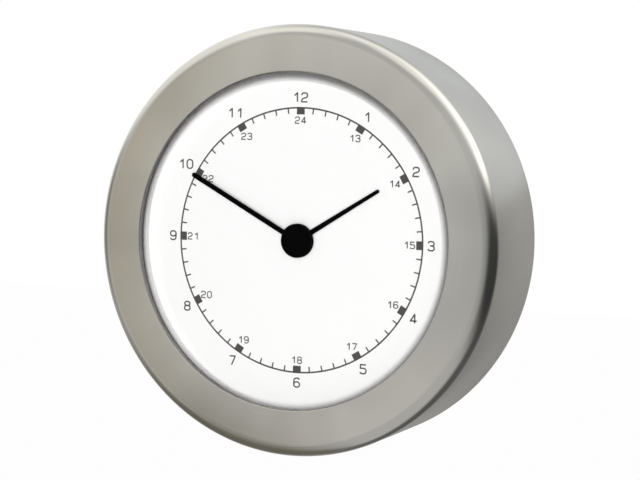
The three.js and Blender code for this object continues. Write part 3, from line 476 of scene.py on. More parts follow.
def make_brushed_steel():
    material, wire, shader = new_finish("brushed_steel", Metallic=1.0)
    right, up, radius, height = from_axis(wire)
    path, turn = radius + height, right.math("ARCTAN2", up)
    combed = point(wire, path * SCRATCHES_PER_MM, turn * SCRATCHES_PER_RADIAN, radius - height)
    scratches = noise(combed, scale=1.0, detail=3.0)
    # Painted sheen: broad sectors round the axis, mixed into the colour with the real scratches.
    spoke = [side / radius * SHEEN_SECTORS for side in (right, up)]
    fanned = point(wire, *spoke, path * SHEEN_SECTOR_DRIFT + SHEEN_SECTOR_SEED)
    painted_sheen_sectors = noise(fanned, scale=1.0, detail=1.0)
    grain_and_sheen = scratches * SCRATCH_SHARE + painted_sheen_sectors * (1 - SCRATCH_SHARE)
    # Painted shade: inside the lip the colour turns dark, and the roughness rises.
    lip_shade_mask = radius.math("LESS_THAN", OPENING_RADIUS + LIP_SHADE_MARGIN)
    shade(wire, shader, lip_shade_mask, blend(grain_and_sheen, STEEL_DARK, STEEL_PALE), LIP_SHADE_COLOUR)
    roughness = STEEL_ROUGHNESS + scratches * SCRATCH_ROUGHNESS + lip_shade_mask * LIP_INSIDE_ROUGHNESS
    wire.feed(shader.inputs["Roughness"], roughness)
    emboss(wire, shader, scratches, depth=0.02, strength=0.5)
    return material


brushed_steel = make_brushed_steel()
print("finish:", brushed_steel.name)

# %% [markdown]
# ## Turning the round pieces
#
# Almost everything on this clock was made on a lathe or in a round press tool. A Screw modifier
# could turn a profile, but one function that takes the outline of a section, as (radius, height)
# points, and turns it about the axis gives the same mesh with nothing left to apply. Arcs are
# worked out, not listed. Sharp corners are marked by angle, so that the round edge shades smoothly
# and the flat faces stay flat.

# %% Sections and turning
SMOOTH_SEGMENTS = 256
SHARP_ANGLE = math.radians(35)
WELD = 1e-5


def arc(x, y, bend, start, end, steps=12):
    """Points on a bend about a centre, from one angle to another in degrees."""
    turns = [math.radians(start + (end - start) * i / steps) for i in range(steps + 1)]
    return [(x + bend * math.cos(turn), y + bend * math.sin(turn)) for turn in turns]


def turned(name, section, segments=SMOOTH_SEGMENTS):
    """A mesh made by turning a closed section about the bench's z axis."""
    build = bmesh.new()
    rings = []
    for step in range(segments):
        turn = 2 * math.pi * step / segments
        cosine, sine = math.cos(turn), math.sin(turn)
        rings.append([build.verts.new((r * cosine, r * sine, height)) for r, height in section])
    count = len(section)
    for here, there in zip(rings, rings[1:] + rings[:1]):
        for i in range(count):
            build.faces.new((here[i], there[i], there[(i + 1) % count], here[(i + 1) % count]))
    bmesh.ops.remove_doubles(build, verts=build.verts, dist=WELD)
    return closed_mesh(name, build)


def hang(name, mesh, finish, body, *stands_for, slot=None):
    """Puts a bench mesh on the wall as a piece that rides on a body."""
    mesh.transform(BENCH_TO_WALL)
    mesh.materials.clear()
    mesh.materials.append(finish)
    mesh.shade_smooth()
    mesh.set_sharp_from_angle(angle=SHARP_ANGLE)
    piece = bpy.data.objects.new(name, mesh)
    scene.collection.objects.link(piece)
    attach(piece, body)
    if stands_for:
        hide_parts(*stands_for)
    print(f"{name}: {len(mesh.vertices)} points, rides on {body}")
    return piece


print("turning with", SMOOTH_SEGMENTS, "steps")

# %% [markdown]
# ## The case
#
# One sheet of steel, drawn to a cup, pierced, and rolled in round the opening. A cylinder with a
# bevel would give the round edge but not the lip, so the section follows the sheet: up the plain
# wall, round the front edge, across the flat bezel, round the lip, and back along the inside at
# the sheet's thickness.

# %% Drawn steel case
SHEET = 1.0
EDGE_BEND = 3.5
LIP_BEND = 0.25
CASE_TAPER = 0.6
LIP_GAP = 0.4
RIM_ROUND = 0.3
EDGE_STEPS, LIP_STEPS, RIM_STEPS = 20, 14, 4


def make_case():
    edge = (case_radius - EDGE_BEND, case_front - EDGE_BEND)
    lip = (OPENING_RADIUS + LIP_BEND, case_front - LIP_BEND)
    rim_outside = case_radius - CASE_TAPER
    lip_end = glass_front + LIP_GAP
    section = arc(rim_outside - RIM_ROUND, case_back + RIM_ROUND, RIM_ROUND, -90, 0, RIM_STEPS)
    section += arc(*edge, EDGE_BEND, 0, 90, EDGE_STEPS)
    section += arc(*lip, LIP_BEND, 90, 180, LIP_STEPS)
    section += [(OPENING_RADIUS, lip_end), (OPENING_RADIUS + SHEET, lip_end)]
    section += [(OPENING_RADIUS + SHEET, case_front - SHEET)]
    section += arc(*edge, EDGE_BEND - SHEET, 90, 0)
    rim_inside = rim_outside - SHEET
    section += arc(rim_inside + RIM_ROUND, case_back + RIM_ROUND, RIM_ROUND, 180, 270, RIM_STEPS)
    hang("steel_case", turned("steel_case", section), brushed_steel, "clock_case",
         "case_shell", slot="case_steel")


make_case()

# %% [markdown]
# ## Glass, seal and spacer
#
# Behind the lip lie a rubber seal, a flat glass and a spacer ring that keeps the glass off the
# hands. Rubber and plastic come out of a mould with a fine grain. One flat colour would look like
# paper, so the finish has a slow cloud in its colour and a fine speckle in gloss and surface.

# %% Moulded finishes
MOULD_DARK, MOULD_PALE = 0.92, 1.06
MOULD_GLOSS = 0.08


def make_moulded(name, colour, roughness):
    """Moulded plastic or rubber in one colour."""
    material, wire, shader = new_finish(name)
    speckle, cloud = grain(wire, per_mm=1.0, detail=3.0), grain(wire, per_mm=0.1, detail=1.0)
    pale = [min(1.0, share) for share in scaled(MOULD_PALE, colour)]
    shade(wire, shader, cloud, scaled(MOULD_DARK, colour), pale)
    gloss(wire, shader, speckle, roughness - MOULD_GLOSS, roughness + MOULD_GLOSS)
    emboss(wire, shader, speckle, depth=0.03, strength=0.25)
    return material


white_plastic = make_moulded("moulded_white", (0.96, 0.96, 0.95), 0.45)
black_plastic = make_moulded("moulded_black", (0.030, 0.030, 0.032), 0.5)
grey_plastic = make_moulded("moulded_grey", (0.20, 0.205, 0.21), 0.5)
rubber = make_moulded("seal_rubber", (0.022, 0.022, 0.022), 0.7)
print("finishes:", white_plastic.name, black_plastic.name, grey_plastic.name, rubber.name)

# %% [markdown]
# Seal and spacer are plain rings. Two cylinders and a boolean would make one, but the spacer's
# bore shows through the glass, so both are turned as finely as the case, with broken corners.

# %% Seal and spacer
CORNER, CORNER_STEPS = 0.12, 3
SEAL_SETBACK = 1.3
SPACER_SETBACK = 0.5


def make_ring(name, node, setback, finish, slot):
    """A flat ring in a node's place, its bore set back from the opening."""
    low, high = heights_of(node)
    inside, outside = OPENING_RADIUS + setback + CORNER, stack_radius - CORNER
    section = arc(outside, low + CORNER, CORNER, -90, 0, CORNER_STEPS)
    section += arc(outside, high - CORNER, CORNER, 0, 90, CORNER_STEPS)
    section += arc(inside, high - CORNER, CORNER, 90, 180, CORNER_STEPS)
    section += arc(inside, low + CORNER, CORNER, 180, 270, CORNER_STEPS)
    hang(name, turned(name, section), finish, "clock_case", node, slot=slot)


make_ring("rubber_seal", "glass_gasket", SEAL_SETBACK, rubber, "rubber")
make_ring("spacer", "spacer_ring", SPACER_SETBACK, white_plastic, "white_plastic")

# %% [markdown]
# The glass is nearly invisible: a picture of a dial would only lose contrast under a mirror. True
# refraction would also keep most of the lamp from the dial, so the pane lets almost everything
# through by its alpha, with a faint smear.

# %% Clear glass
CLEAR_ALPHA, SMEARED_ALPHA = 0.007, 0.013
GLASS_DARK = (0.02, 0.022, 0.022, 1)


def make_glass_finish():
    material, wire, shader = new_finish("clear_glass", Roughness=0.03, Base_Color=GLASS_DARK)
    smear = grain(wire, per_mm=0.03)
    wire.feed(shader.inputs["Alpha"], CLEAR_ALPHA + smear * (SMEARED_ALPHA - CLEAR_ALPHA))
    return material


clear_glass = make_glass_finish()
pane = [(0, glass_back), (stack_radius, glass_back), (stack_radius, glass_front), (0, glass_front)]
hang("glass_pane", turned("glass_pane", pane), clear_glass, "clock_case", "front_glass", slot="glass")

# %% [markdown]
# Under the lip the dial fades into a soft dark edge: the shade under the lip. That could be left to
# the light, but the light here gives too little of it. So a thin dark ring lies on the glass as a
# painted shadow, clear at its inner edge and dense at its outer one. Only its front face is tinted, and
# it is a piece of its own, so that it can stay out of the shadows. It sits a little off the axis, so
# that the painted shadow is denser towards the upper right.

# %% Painted shadow on the glass, under the lip
LIP_SHADOW_INNER = 40.55
LIP_SHADOW_DENSE = 43.05
LIP_SHADOW_OUTER = 43.8
# Off the axis, so that the painted shadow is denser towards the upper right.
LIP_SHADOW_SHIFT = (0.55, 0.65)
LIP_SHADOW_ALPHA = 0.80
# Painted shadow: a nearly black tint, its alpha rising towards the lip.
LIP_SHADOW_COLOUR = (0.028, 0.024, 0.024, 1)
LIP_SHADOW_FILM = 0.04
film_low, film_high = glass_front + LIP_SHADOW_FILM / 2, glass_front + LIP_SHADOW_FILM


def make_edge_tint():
    material, wire, shader = new_finish("painted_lip_shadow", Roughness=0.5, Specular_IOR_Level=0.1,
                                        Base_Color=LIP_SHADOW_COLOUR)
    radius, height = from_axis(wire, *LIP_SHADOW_SHIFT)[2:]
    front = height.math("GREATER_THAN", (film_low + film_high) / 2)
    # Painted shadow: the tint grows dense towards the lip, on the front face only.
    wire.feed(shader.inputs["Alpha"], ramp(radius, LIP_SHADOW_INNER, LIP_SHADOW_DENSE, LIP_SHADOW_ALPHA) * front)
    return material


painted_lip_shadow = make_edge_tint()
film = [(LIP_SHADOW_INNER, film_low), (LIP_SHADOW_OUTER, film_low), (LIP_SHADOW_OUTER, film_high), (LIP_SHADOW_INNER, film_high)]
lip_shadow_ring = hang("glass_painted_lip_shadow", turned("glass_painted_lip_shadow", film), painted_lip_shadow, "clock_case")
# The painted shadow casts no shadow of its own and gives no bounce light.
lip_shadow_ring.visible_shadow = False
lip_shadow_ring.visible_diffuse = False

# %% [markdown]
# ## The dial
#
# A white lacquered disc. A new disc could replace it, but its solid is already right, so it stays
# and only takes a finish: matt white with the faintest unevenness of sprayed lacquer.

# %% White lacquer
LACQUER_DARK, LACQUER_PALE = (0.935, 0.935, 0.93, 1), (0.95, 0.95, 0.945, 1)


def make_lacquer():
    material, wire, shader = new_finish("white_lacquer", Specular_IOR_Level=0.15)
    cloud, peel = grain(wire, per_mm=0.05), grain(wire, per_mm=2.0)
    shade(wire, shader, cloud, LACQUER_DARK, LACQUER_PALE)
    gloss(wire, shader, peel, smooth=0.5, rough=0.6)
    emboss(wire, shader, peel, depth=0.005, strength=0.2)
    return material


def refinish(node, finish):
    """Gives a carried-over solid a finish of its own."""
    nodes[node].data.materials.clear()
    nodes[node].data.materials.append(finish)


white_lacquer = make_lacquer()
refinish("dial", white_lacquer)
print("dial refinished with", white_lacquer.name)

# %% [markdown]
# ## Printed minute track
#
# The track is a thin line with a short tick at each minute and a block at each hour. An Array
# modifier could repeat a tick, but not leave out every fifth one. So it is a Geometry Nodes tree:
# points are set out by their index, each tick or block is a thin slab of ink, and the index decides
# which of the two a point gets. The inputs are named, so a different dial needs only different
# numbers. First come the helpers that start, end and run any tree.


# %% Geometry Nodes helpers
def new_tree(name, **defaults):
    """An empty tree with named inputs. Returns a wire and the inputs as wires."""
    tree = bpy.data.node_groups.new(name, "GeometryNodeTree")
    tree.interface.new_socket("Geometry", in_out="INPUT", socket_type="NodeSocketGeometry")
    for title, value in defaults.items():
        socket = tree.interface.new_socket(title, in_out="INPUT", socket_type="NodeSocketFloat")
        socket.default_value = value
    tree.interface.new_socket("Geometry", in_out="OUTPUT", socket_type="NodeSocketGeometry")
    given = tree.nodes.new("NodeGroupInput")
    return Wire(tree), {socket.name: Wire(tree, socket) for socket in given.outputs if socket.name}


def close_tree(geometry, finish):
    """Ends a tree the way an export needs it: real meshes with a material."""
    real = geometry.node("GeometryNodeRealizeInstances", {0: geometry})
    painted = geometry.node("GeometryNodeSetMaterial", {"Geometry": real, "Material": finish})
    end = geometry.tree.nodes.new("NodeGroupOutput")
    geometry.feed(end.inputs[0], painted)
    return geometry.tree


def baked(holder):
    """What an object's modifiers make of it, as a plain mesh. The object is removed."""
    bpy.context.view_layer.update()
    evaluated = holder.evaluated_get(bpy.context.evaluated_depsgraph_get())
    mesh = bpy.data.meshes.new_from_object(evaluated)
    bpy.data.objects.remove(holder)
    return mesh


def grow(tree, base, **values):
    """Runs a tree on a curve or mesh and returns the result as a plain mesh."""
    holder = bpy.data.objects.new(tree.name, base)
    scene.collection.objects.link(holder)
    modifier = holder.modifiers.new(tree.name, "NODES")
    modifier.node_group = tree
    for item in tree.interface.items_tree:
        if item.in_out == "INPUT" and item.name in values:
            modifier[item.identifier] = values[item.name]
    return baked(holder)


print("trees end in real meshes with a material")

# %% [markdown]
# The print is a dark warm grey, laid on by a pad. A picture of the dial could be mapped on, but
# it would blur in a close view. So the ink is real, a few hundredths of a millimetre thick, and
# slightly uneven, as pad printing is.

# %% Ink
INK_THICK = 0.03
INK_DARK, INK_PALE = (0.058, 0.054, 0.050, 1), (0.078, 0.073, 0.068, 1)


def make_ink():
    material, wire, shader = new_finish("dial_ink")
    cloud = grain(wire, per_mm=0.6)
    shade(wire, shader, cloud, INK_DARK, INK_PALE)
    gloss(wire, shader, cloud, smooth=0.5, rough=0.65)
    return material


def print_on_dial(name, mesh):
    mesh.transform(Matrix.Translation((0, 0, dial_front + INK_THICK / 2)))
    hang(name, mesh, dial_ink, "clock_case")


dial_ink = make_ink()
print("finish:", dial_ink.name)

# %% Minute track
MINUTES = 60
MINUTES_PER_HOUR_MARK = 5
TRACK_STEPS = 240


def make_track_tree():
    wire, given = new_tree("minute_track", Radius=34.1, Line=0.42, Tick_Length=1.25, Tick_Width=0.36,
                           Block_Width=2.2, Block_Height=1.5, Thickness=INK_THICK)
    thick, line_inside = given["Thickness"], given["Radius"] - given["Line"]
    circle = wire.node("GeometryNodeCurvePrimitiveCircle",
                       {"Resolution": TRACK_STEPS, "Radius": given["Radius"] - given["Line"] / 2})
    nib = wire.node("GeometryNodeCurvePrimitiveQuadrilateral", {0: given["Line"], 1: thick})
    line = wire.node("GeometryNodeCurveToMesh", {"Curve": circle, "Profile Curve": nib})

    index = wire.node("GeometryNodeInputIndex")
    turn = index * (2 * math.pi / MINUTES)
    rotation = wire.node("FunctionNodeEulerToRotation", {0: point(wire, 0.0, 0.0, turn * -1)})
    past_hour = index.math("MODULO", MINUTES_PER_HOUR_MARK)
    on_hour = past_hour.math("LESS_THAN", 0.5)

    def marks(width, length, chosen):
        middle = line_inside - length / 2
        place = point(wire, turn.math("SINE") * middle, turn.math("COSINE") * middle, 0.0)
        points = wire.node("GeometryNodePoints", {"Count": MINUTES, "Position": place})
        slab = wire.node("GeometryNodeMeshCube", {"Size": point(wire, width, length, thick)})
        return wire.node("GeometryNodeInstanceOnPoints", {"Points": points, "Selection": chosen,
                                                          "Instance": slab, "Rotation": rotation})

    ticks = marks(given["Tick_Width"], given["Tick_Length"], 1 - on_hour)
    blocks = marks(given["Block_Width"], given["Block_Height"], on_hour)
    join = wire.tree.nodes.new("GeometryNodeJoinGeometry")
    for mark in (line, ticks, blocks):
        wire.feed(join.inputs[0], mark)
    return close_tree(Wire(wire.tree, join.outputs[0]), dial_ink)


print_on_dial("minute_track", grow(make_track_tree(), bpy.data.meshes.new("track_base")))

# %% [markdown]
# ## Numerals
#
# The dial has 1 to 12 outside the track and 13 to 24 inside it, upright, in a plain squarish
# drafting hand. A font would be quicker, but Blender's own has another shape. So each digit is
# drawn as pen strokes in a unit box, a few points each. A third number says how much of the bend a
# corner takes, so that the elbows of 1, 4 and 7 stay sharp.

# %% Digit strokes
SHARP = 0.02
DIGITS = {
    "0": [[(0, 0), (1, 0), (1, 1), (0, 1), (0, 0)]],
    "1": [[(0.28, 0.70), (0.78, 1, SHARP), (0.78, 0)]],
    "2": [[(0, 0.74), (0, 1), (1, 1), (1, 0.52), (0, 0.34), (0, 0, SHARP), (1, 0)]],
    "3": [[(0.02, 0.80), (0.02, 1), (0.96, 1), (0.96, 0.53), (0.32, 0.53)],
          [(0.32, 0.53), (1, 0.53), (1, 0), (0, 0), (0, 0.20)]],
    "4": [[(0.72, 0), (0.72, 1, SHARP), (0, 0.26, SHARP), (1.06, 0.26)]],
    "5": [[(0.94, 1), (0.06, 1, SHARP), (0.03, 0.60, SHARP), (1, 0.60), (1, 0), (0, 0), (0, 0.20)]],
    "6": [[(0.94, 0.82), (0.94, 1), (0, 1), (0, 0.5), (0, 0.3)],
          [(0, 0), (1, 0), (1, 0.58), (0, 0.58), (0, 0)]],
    "7": [[(0, 1), (1, 1, SHARP), (0.36, 0)]],
    "8": [[(0.05, 0.53), (0.95, 0.53), (0.95, 1), (0.05, 1), (0.05, 0.53)],
          [(0, 0), (1, 0), (1, 0.53), (0, 0.53), (0, 0)]],
}
DIGITS["9"] = [[(1 - x, 1 - y, *bend) for x, y, *bend in stroke] for stroke in DIGITS["6"]]
DIGIT_WIDTH = 0.71
DIGIT_PITCH = 1.08


def strokes_of(number):
    """Strokes of a whole number, one unit high, centred on its own outline."""
    strokes = [[(x * DIGIT_WIDTH + place * DIGIT_PITCH, y, *bend) for x, y, *bend in stroke]
               for place, digit in enumerate(str(number)) for stroke in DIGITS[digit]]
    across = [corner[0] for stroke in strokes for corner in stroke]
    middle = (min(across) + max(across)) / 2
    return [[(x - middle, y - 0.5, *bend) for x, y, *bend in stroke] for stroke in strokes]


print("digits:", {digit: len(strokes) for digit, strokes in DIGITS.items()})

# %% [markdown]
# A curve's own bevel would run a pen along the strokes, but it can't round their corners. A tree
# does both: Fillet Curve bends each corner by its share, and a flat nib is run along the result.

# %% Pen tree
BEND_STEPS = 6


def make_pen_tree():
    wire, given = new_tree("pen", Nib=0.27, Bend=0.6, Thickness=INK_THICK)
    bend = wire.node("GeometryNodeInputRadius") * given["Bend"]
    bent = wire.node("GeometryNodeFilletCurve", {"Curve": given["Geometry"], "Radius": bend,
                                                 "Limit Radius": True, "Count": BEND_STEPS}, mode="POLY")
    even = wire.node("GeometryNodeSetCurveRadius", {"Curve": bent, "Radius": 1.0})
    level = wire.node("GeometryNodeSetCurveNormal", {"Curve": even}, mode="Z_UP")
    nib = wire.node("GeometryNodeCurvePrimitiveQuadrilateral", {0: given["Nib"], 1: given["Thickness"]})
    drawn = wire.node("GeometryNodeCurveToMesh", {"Curve": level, "Profile Curve": nib, "Fill Caps": True})
    return close_tree(drawn, dial_ink)


pen_tree = make_pen_tree()
print("tree:", pen_tree.name)

# %% [markdown]
# Numbers centred on one circle would touch the track where they are wide. The outer ones stand
# clear of a circle round the track instead, so a wide 10 sits further out than a narrow 9. The
# inner ones lean off theirs by half as much, towards the centre.

# %% Two rings of numerals
HOURS = 12
OUTER_HEIGHT, OUTER_NIB, OUTER_CIRCLE, OUTER_LEAN = 2.65, 0.37, 35.2, 1.0
INNER_HEIGHT, INNER_NIB, INNER_CIRCLE, INNER_LEAN = 1.90, 0.28, 31.2, -0.5
BEND_SHARE = 0.27


def write_numerals(name, numbers, height, nib, circle, lean):
    """Draws numbers upright round the dial, off a circle by a share of their own reach."""
    curve = bpy.data.curves.new(name, "CURVE")
    curve.dimensions = "3D"
    tall = height - nib
    for number in numbers:
        turn = 2 * math.pi * number / HOURS
        sine, cosine = math.sin(turn), math.cos(turn)
        strokes = strokes_of(number)
        half_width = max(corner[0] for stroke in strokes for corner in stroke) * tall + nib / 2
        radius = circle + lean * (half_width * abs(sine) + height / 2 * abs(cosine))
        for stroke in strokes:
            closed = stroke[0] == stroke[-1]
            corners = stroke[:-1] if closed else stroke
            spline = curve.splines.new("POLY")
            spline.points.add(len(corners) - 1)
            spline.use_cyclic_u = closed
            for place, (x, y, *bend) in zip(spline.points, corners):
                place.co = (radius * sine + x * tall, radius * cosine + y * tall, 0, 1)
                place.radius = bend[0] if bend else 1.0
    print_on_dial(name, grow(pen_tree, curve, Nib=nib, Bend=BEND_SHARE * height))


first_half, second_half = range(1, HOURS + 1), range(HOURS + 1, 2 * HOURS + 1)
write_numerals("hours_one_to_twelve", first_half, OUTER_HEIGHT, OUTER_NIB, OUTER_CIRCLE, OUTER_LEAN)
write_numerals("hours_thirteen_on", second_half, INNER_HEIGHT, INNER_NIB, INNER_CIRCLE, INNER_LEAN)

# %% [markdown]
# ## Hands
#
# Two stick hands, stamped from sheet and lacquered a deep matt black. A plain black would do from
# afar, but a trace of orange peel in the lacquer keeps the hub from looking like a hole.

# %% Black lacquer
HAND_DARK, HAND_PALE = (0.0005, 0.0005, 0.0005, 1), (0.001, 0.001, 0.001, 1)


def make_hand_lacquer():
    material, wire, shader = new_finish("black_lacquer", Specular_IOR_Level=0.02)
    peel = grain(wire, per_mm=1.5)
    shade(wire, shader, peel, HAND_DARK, HAND_PALE)
    gloss(wire, shader, peel, smooth=0.45, rough=0.6)
    return material


hand_lacquer = make_hand_lacquer()
print("finish:", hand_lacquer.name)

# %% [markdown]
# The outline of a hand is a hub circle that runs into a tapered stick with a half-round end, so
# two arcs give it. A Bevel modifier could break the edges, but the arcs can do that as well: each
# hand is a stack of one outline, drawn in a little at top and bottom.

# %% Stick hands
HUB_RADIUS, HUB_STEPS, TIP_STEPS = 4.35, 96, 16
HAND_SHEET, HAND_BREAK = 0.4, 0.08
HAND_ROOT = 1.32
HOUR_LENGTH, HOUR_TIP, HOUR_ANGLE = 25.9, 0.92, 58.7
MINUTE_LENGTH, MINUTE_TIP, MINUTE_ANGLE = 34.2, 1.26, 298.5


def hand_outline(length, tip, inset):
    """Outline of a hand that points to twelve, anticlockwise, drawn in by inset."""
    hub, half_root, half_tip = HUB_RADIUS - inset, HAND_ROOT / 2 - inset, tip / 2 - inset
    gap = math.degrees(math.asin(half_root / hub))
    outline = arc(0, 0, hub, 90 + gap, 450 - gap, HUB_STEPS)
    return outline + arc(0, length - tip / 2, half_tip, 0, 180, TIP_STEPS)


def stacked(name, outlines):
    """A closed solid through outlines of (points, height), from the lowest to the highest."""
    build = bmesh.new()
    rings = [[build.verts.new((x, y, height)) for x, y in points] for points, height in outlines]
    count = len(rings[0])
    for low, high in zip(rings, rings[1:]):
        for i in range(count):
            build.faces.new((low[i], low[(i + 1) % count], high[(i + 1) % count], high[i]))
    build.faces.new(reversed(rings[0]))
    build.faces.new(rings[-1])
    return closed_mesh(name, build)


def make_hand(name, length, tip, angle, low, body, node):
    """A hand turned to its place, clockwise from twelve."""
    edge, whole = (hand_outline(length, tip, inset) for inset in (HAND_BREAK, 0))
    high = low + HAND_SHEET
    sides = [(whole, low + HAND_BREAK), (whole, high - HAND_BREAK)]
    mesh = stacked(name, [(edge, low), *sides, (edge, high)])
    mesh.transform(Matrix.Rotation(-math.radians(angle), 4, "Z"))
    hang(name, mesh, hand_lacquer, body, node, slot="hand_black")


hour_low = heights_of("hour_hand")[0]
minute_low, crown_top = heights_of("minute_hand")
make_hand("hour_stick", HOUR_LENGTH, HOUR_TIP, HOUR_ANGLE, hour_low, "hour_set", "hour_hand")
make_hand("minute_stick", MINUTE_LENGTH, MINUTE_TIP, MINUTE_ANGLE, minute_low, "minute_set", "minute_hand")

# %% [markdown]
# The minute hand's hub is a closed cap with a rounded crown, pressed over the tip of the arbor. It
# is the one place where the hands catch a little light. A flat disc would do for the photograph,
# but not for a view from the side, so the crown is turned.

# %% Crowned cap
CAP_SEGMENTS, CAP_STEPS = 96, 8
crown_low = minute_low + HAND_SHEET
crown_rise = crown_top - crown_low
cap_radius = HUB_RADIUS - HAND_BREAK
cap = [(0, crown_low), (cap_radius, crown_low)]
cap += arc(cap_radius - crown_rise, crown_low, crown_rise, 0, 90, CAP_STEPS) + [(0, crown_top)]
hang("hub_crown", turned("hub_crown", cap, CAP_SEGMENTS), hand_lacquer, "minute_set", slot="hand_black")

# %% [markdown]
# ## Behind the dial
#
# The clock hangs on a moulded plate that stays screwed to the wall. Three lugs on the plate hold
# a flange inside the clock's carrier ring, like the lid of a jar: turn the case and it lets go.
# Lugs and holes could be modelled into one mesh, face by face. It is closer to the workshop to
# turn a blank and work on it: a sector of a ring is repeated round the axis by a Geometry Nodes
# tree, and the result is added to the blank or cut out of it.

# %% Sectors, round patterns and boolean work
BAYONETS = 3
LUG_BEARING = 30


def sector(name, inner, outer, middle, width, low, high, steps=16):
    """Part of a flat ring, its middle at an angle from +x, all angles in degrees."""
    start, end = middle - width / 2, middle + width / 2
    outline = arc(0, 0, outer, start, end, steps) + arc(0, 0, inner, end, start, steps)
    return stacked(name, [(outline, low), (outline, high)])


def make_round_tree(finish):
    wire, given = new_tree("round_pattern", Count=BAYONETS)
    turn = wire.node("GeometryNodeInputIndex") * (2 * math.pi) / given["Count"]
    points = wire.node("GeometryNodePoints", {"Count": given["Count"]})
    rotation = wire.node("FunctionNodeEulerToRotation", {0: point(wire, 0.0, 0.0, turn)})
    copies = wire.node("GeometryNodeInstanceOnPoints", {"Points": points, "Instance": given["Geometry"],
                                                        "Rotation": rotation})
    return close_tree(copies, finish)


round_tree = make_round_tree(black_plastic)


def worked(blank, tool, operation):
    """The blank with a round of tools added to it or cut out of it."""
    holder, cutter = (bpy.data.objects.new(mesh.name, mesh)
                      for mesh in (blank, grow(round_tree, tool, Count=BAYONETS)))
    for part in (holder, cutter):
        scene.collection.objects.link(part)
    modifier = holder.modifiers.new(operation, "BOOLEAN")
    modifier.operation = operation
    modifier.object = cutter
    mesh = baked(holder)
    bpy.data.objects.remove(cutter)
    return mesh


print("tree:", round_tree.name, "of", BAYONETS)

# %% [markdown]
# The wall plate is a disc with a chamfered rim. Each lug stands on a post, so that the flange can
# slide in under it, and three countersunk holes take the screws. The tool that cuts a hole has the
# shape of a drill, so it is turned like the rest.

# %% Wall plate
PLATE_THICK, PLATE_CHAMFER = 3.0, 0.6
LUG_THICK, LUG_WIDTH, LUG_SETBACK = 1.8, 26, 0.3
POST_OUTSIDE, POST_THICK = 45.4, 2.5
SCREW_CIRCLE, SCREW_HOLE, SCREW_HEAD = 33.0, 2.25, 4.5
DRILL_PAST, DRILL_SEGMENTS = 1, 48
plate_radius = radius_of("base_plate")
lug_top = heights_of("base_plate")[1]


def make_wall_plate():
    chamfer = (plate_radius - PLATE_CHAMFER, PLATE_THICK)
    blank = turned("wall_plate", [(0, 0), (plate_radius, 0), (plate_radius, PLATE_THICK - PLATE_CHAMFER),
                                  chamfer, (0, PLATE_THICK)])
    inside, lug_low = POST_OUTSIDE - POST_THICK, lug_top - LUG_THICK
    lug_outside = plate_radius - LUG_SETBACK
    post = sector("post", inside, POST_OUTSIDE, LUG_BEARING, LUG_WIDTH, PLATE_THICK / 2, lug_top)
    lug = sector("lug", inside, lug_outside, LUG_BEARING, LUG_WIDTH, lug_low, lug_top)
    start, sink, end = -DRILL_PAST, PLATE_THICK - (SCREW_HEAD - SCREW_HOLE), PLATE_THICK + DRILL_PAST
    shank = [(0, start), (SCREW_HOLE, start), (SCREW_HOLE, sink)]
    head = [(SCREW_HEAD, PLATE_THICK), (SCREW_HEAD, end), (0, end)]
    drill = turned("drill", shank + head, DRILL_SEGMENTS)
    drill.transform(Matrix.Translation((0, SCREW_CIRCLE, 0)))
    for tool, operation in ((post, "UNION"), (lug, "UNION"), (drill, "DIFFERENCE")):
        blank = worked(blank, tool, operation)
    hang("screwed_wall_plate", blank, black_plastic, "wall_plate", "base_plate", slot="black_plastic")


make_wall_plate()

# %% [markdown]
# The carrier ring is pressed into the case. It holds dial and glass in its collar and has the
# flange with three gates for the lugs, each with a stop beside it. One long section gives all of
# its steps, so it is turned too, and only gates and stops are worked in afterwards.

# %% Carrier ring
CARRIER_GAP, CARRIER_WALL, CARRIER_LOW = 0.3, 2.6, 1.2
FLANGE_LOW, FLANGE_HIGH, FLANGE_INSIDE = 3.8, 5.6, 45.7
GATE_WIDTH, GATE_PAST, GATE_BELOW, GATE_ABOVE = 32, 1, 0.5, 0.3
STOP_WIDTH, STOP_START, STOP_ROOT, STOP_LIFT = 4, 14.5, 0.3, 0.1
DIAL_SHEET, WEB_THICK, LEDGE, COLLAR_WALL = 0.9, 1.6, 2.2, 2.0


def make_carrier():
    edge_start = case_front - EDGE_BEND
    slope = CASE_TAPER / (edge_start - case_back)

    def outside(height):
        return case_radius - SHEET - CARRIER_GAP - slope * (edge_start - height), height

    def inside(height):
        return outside(height)[0] - CARRIER_WALL, height

    web_high = dial_front - DIAL_SHEET
    web_low = web_high - WEB_THICK
    collar, ledge = stack_radius + CARRIER_GAP, stack_radius - LEDGE
    blank = turned("carrier", [
        (ledge, web_high), (ledge, web_low), inside(web_low), inside(FLANGE_HIGH),
        (FLANGE_INSIDE, FLANGE_HIGH), (FLANGE_INSIDE, FLANGE_LOW), inside(FLANGE_LOW),
        inside(CARRIER_LOW), outside(CARRIER_LOW), outside(web_high),
        (collar + COLLAR_WALL, web_high), (collar + COLLAR_WALL, glass_front),
        (collar, glass_front), (collar, web_high)])
    bore = inside(FLANGE_LOW)[0]
    gate = sector("gate", FLANGE_INSIDE - GATE_PAST, bore, LUG_BEARING - GATE_WIDTH, GATE_WIDTH,
                  FLANGE_LOW - GATE_BELOW, FLANGE_HIGH + GATE_ABOVE)
    stop_middle = LUG_BEARING + STOP_START + STOP_WIDTH / 2
    stop = sector("stop", FLANGE_INSIDE, bore + STOP_ROOT, stop_middle, STOP_WIDTH,
                  FLANGE_LOW + STOP_LIFT, lug_top)
    for tool, operation in ((gate, "DIFFERENCE"), (stop, "UNION")):
        blank = worked(blank, tool, operation)
    hang("carrier", blank, black_plastic, "clock_case", "carrier_ring", slot="black_plastic")


make_carrier()

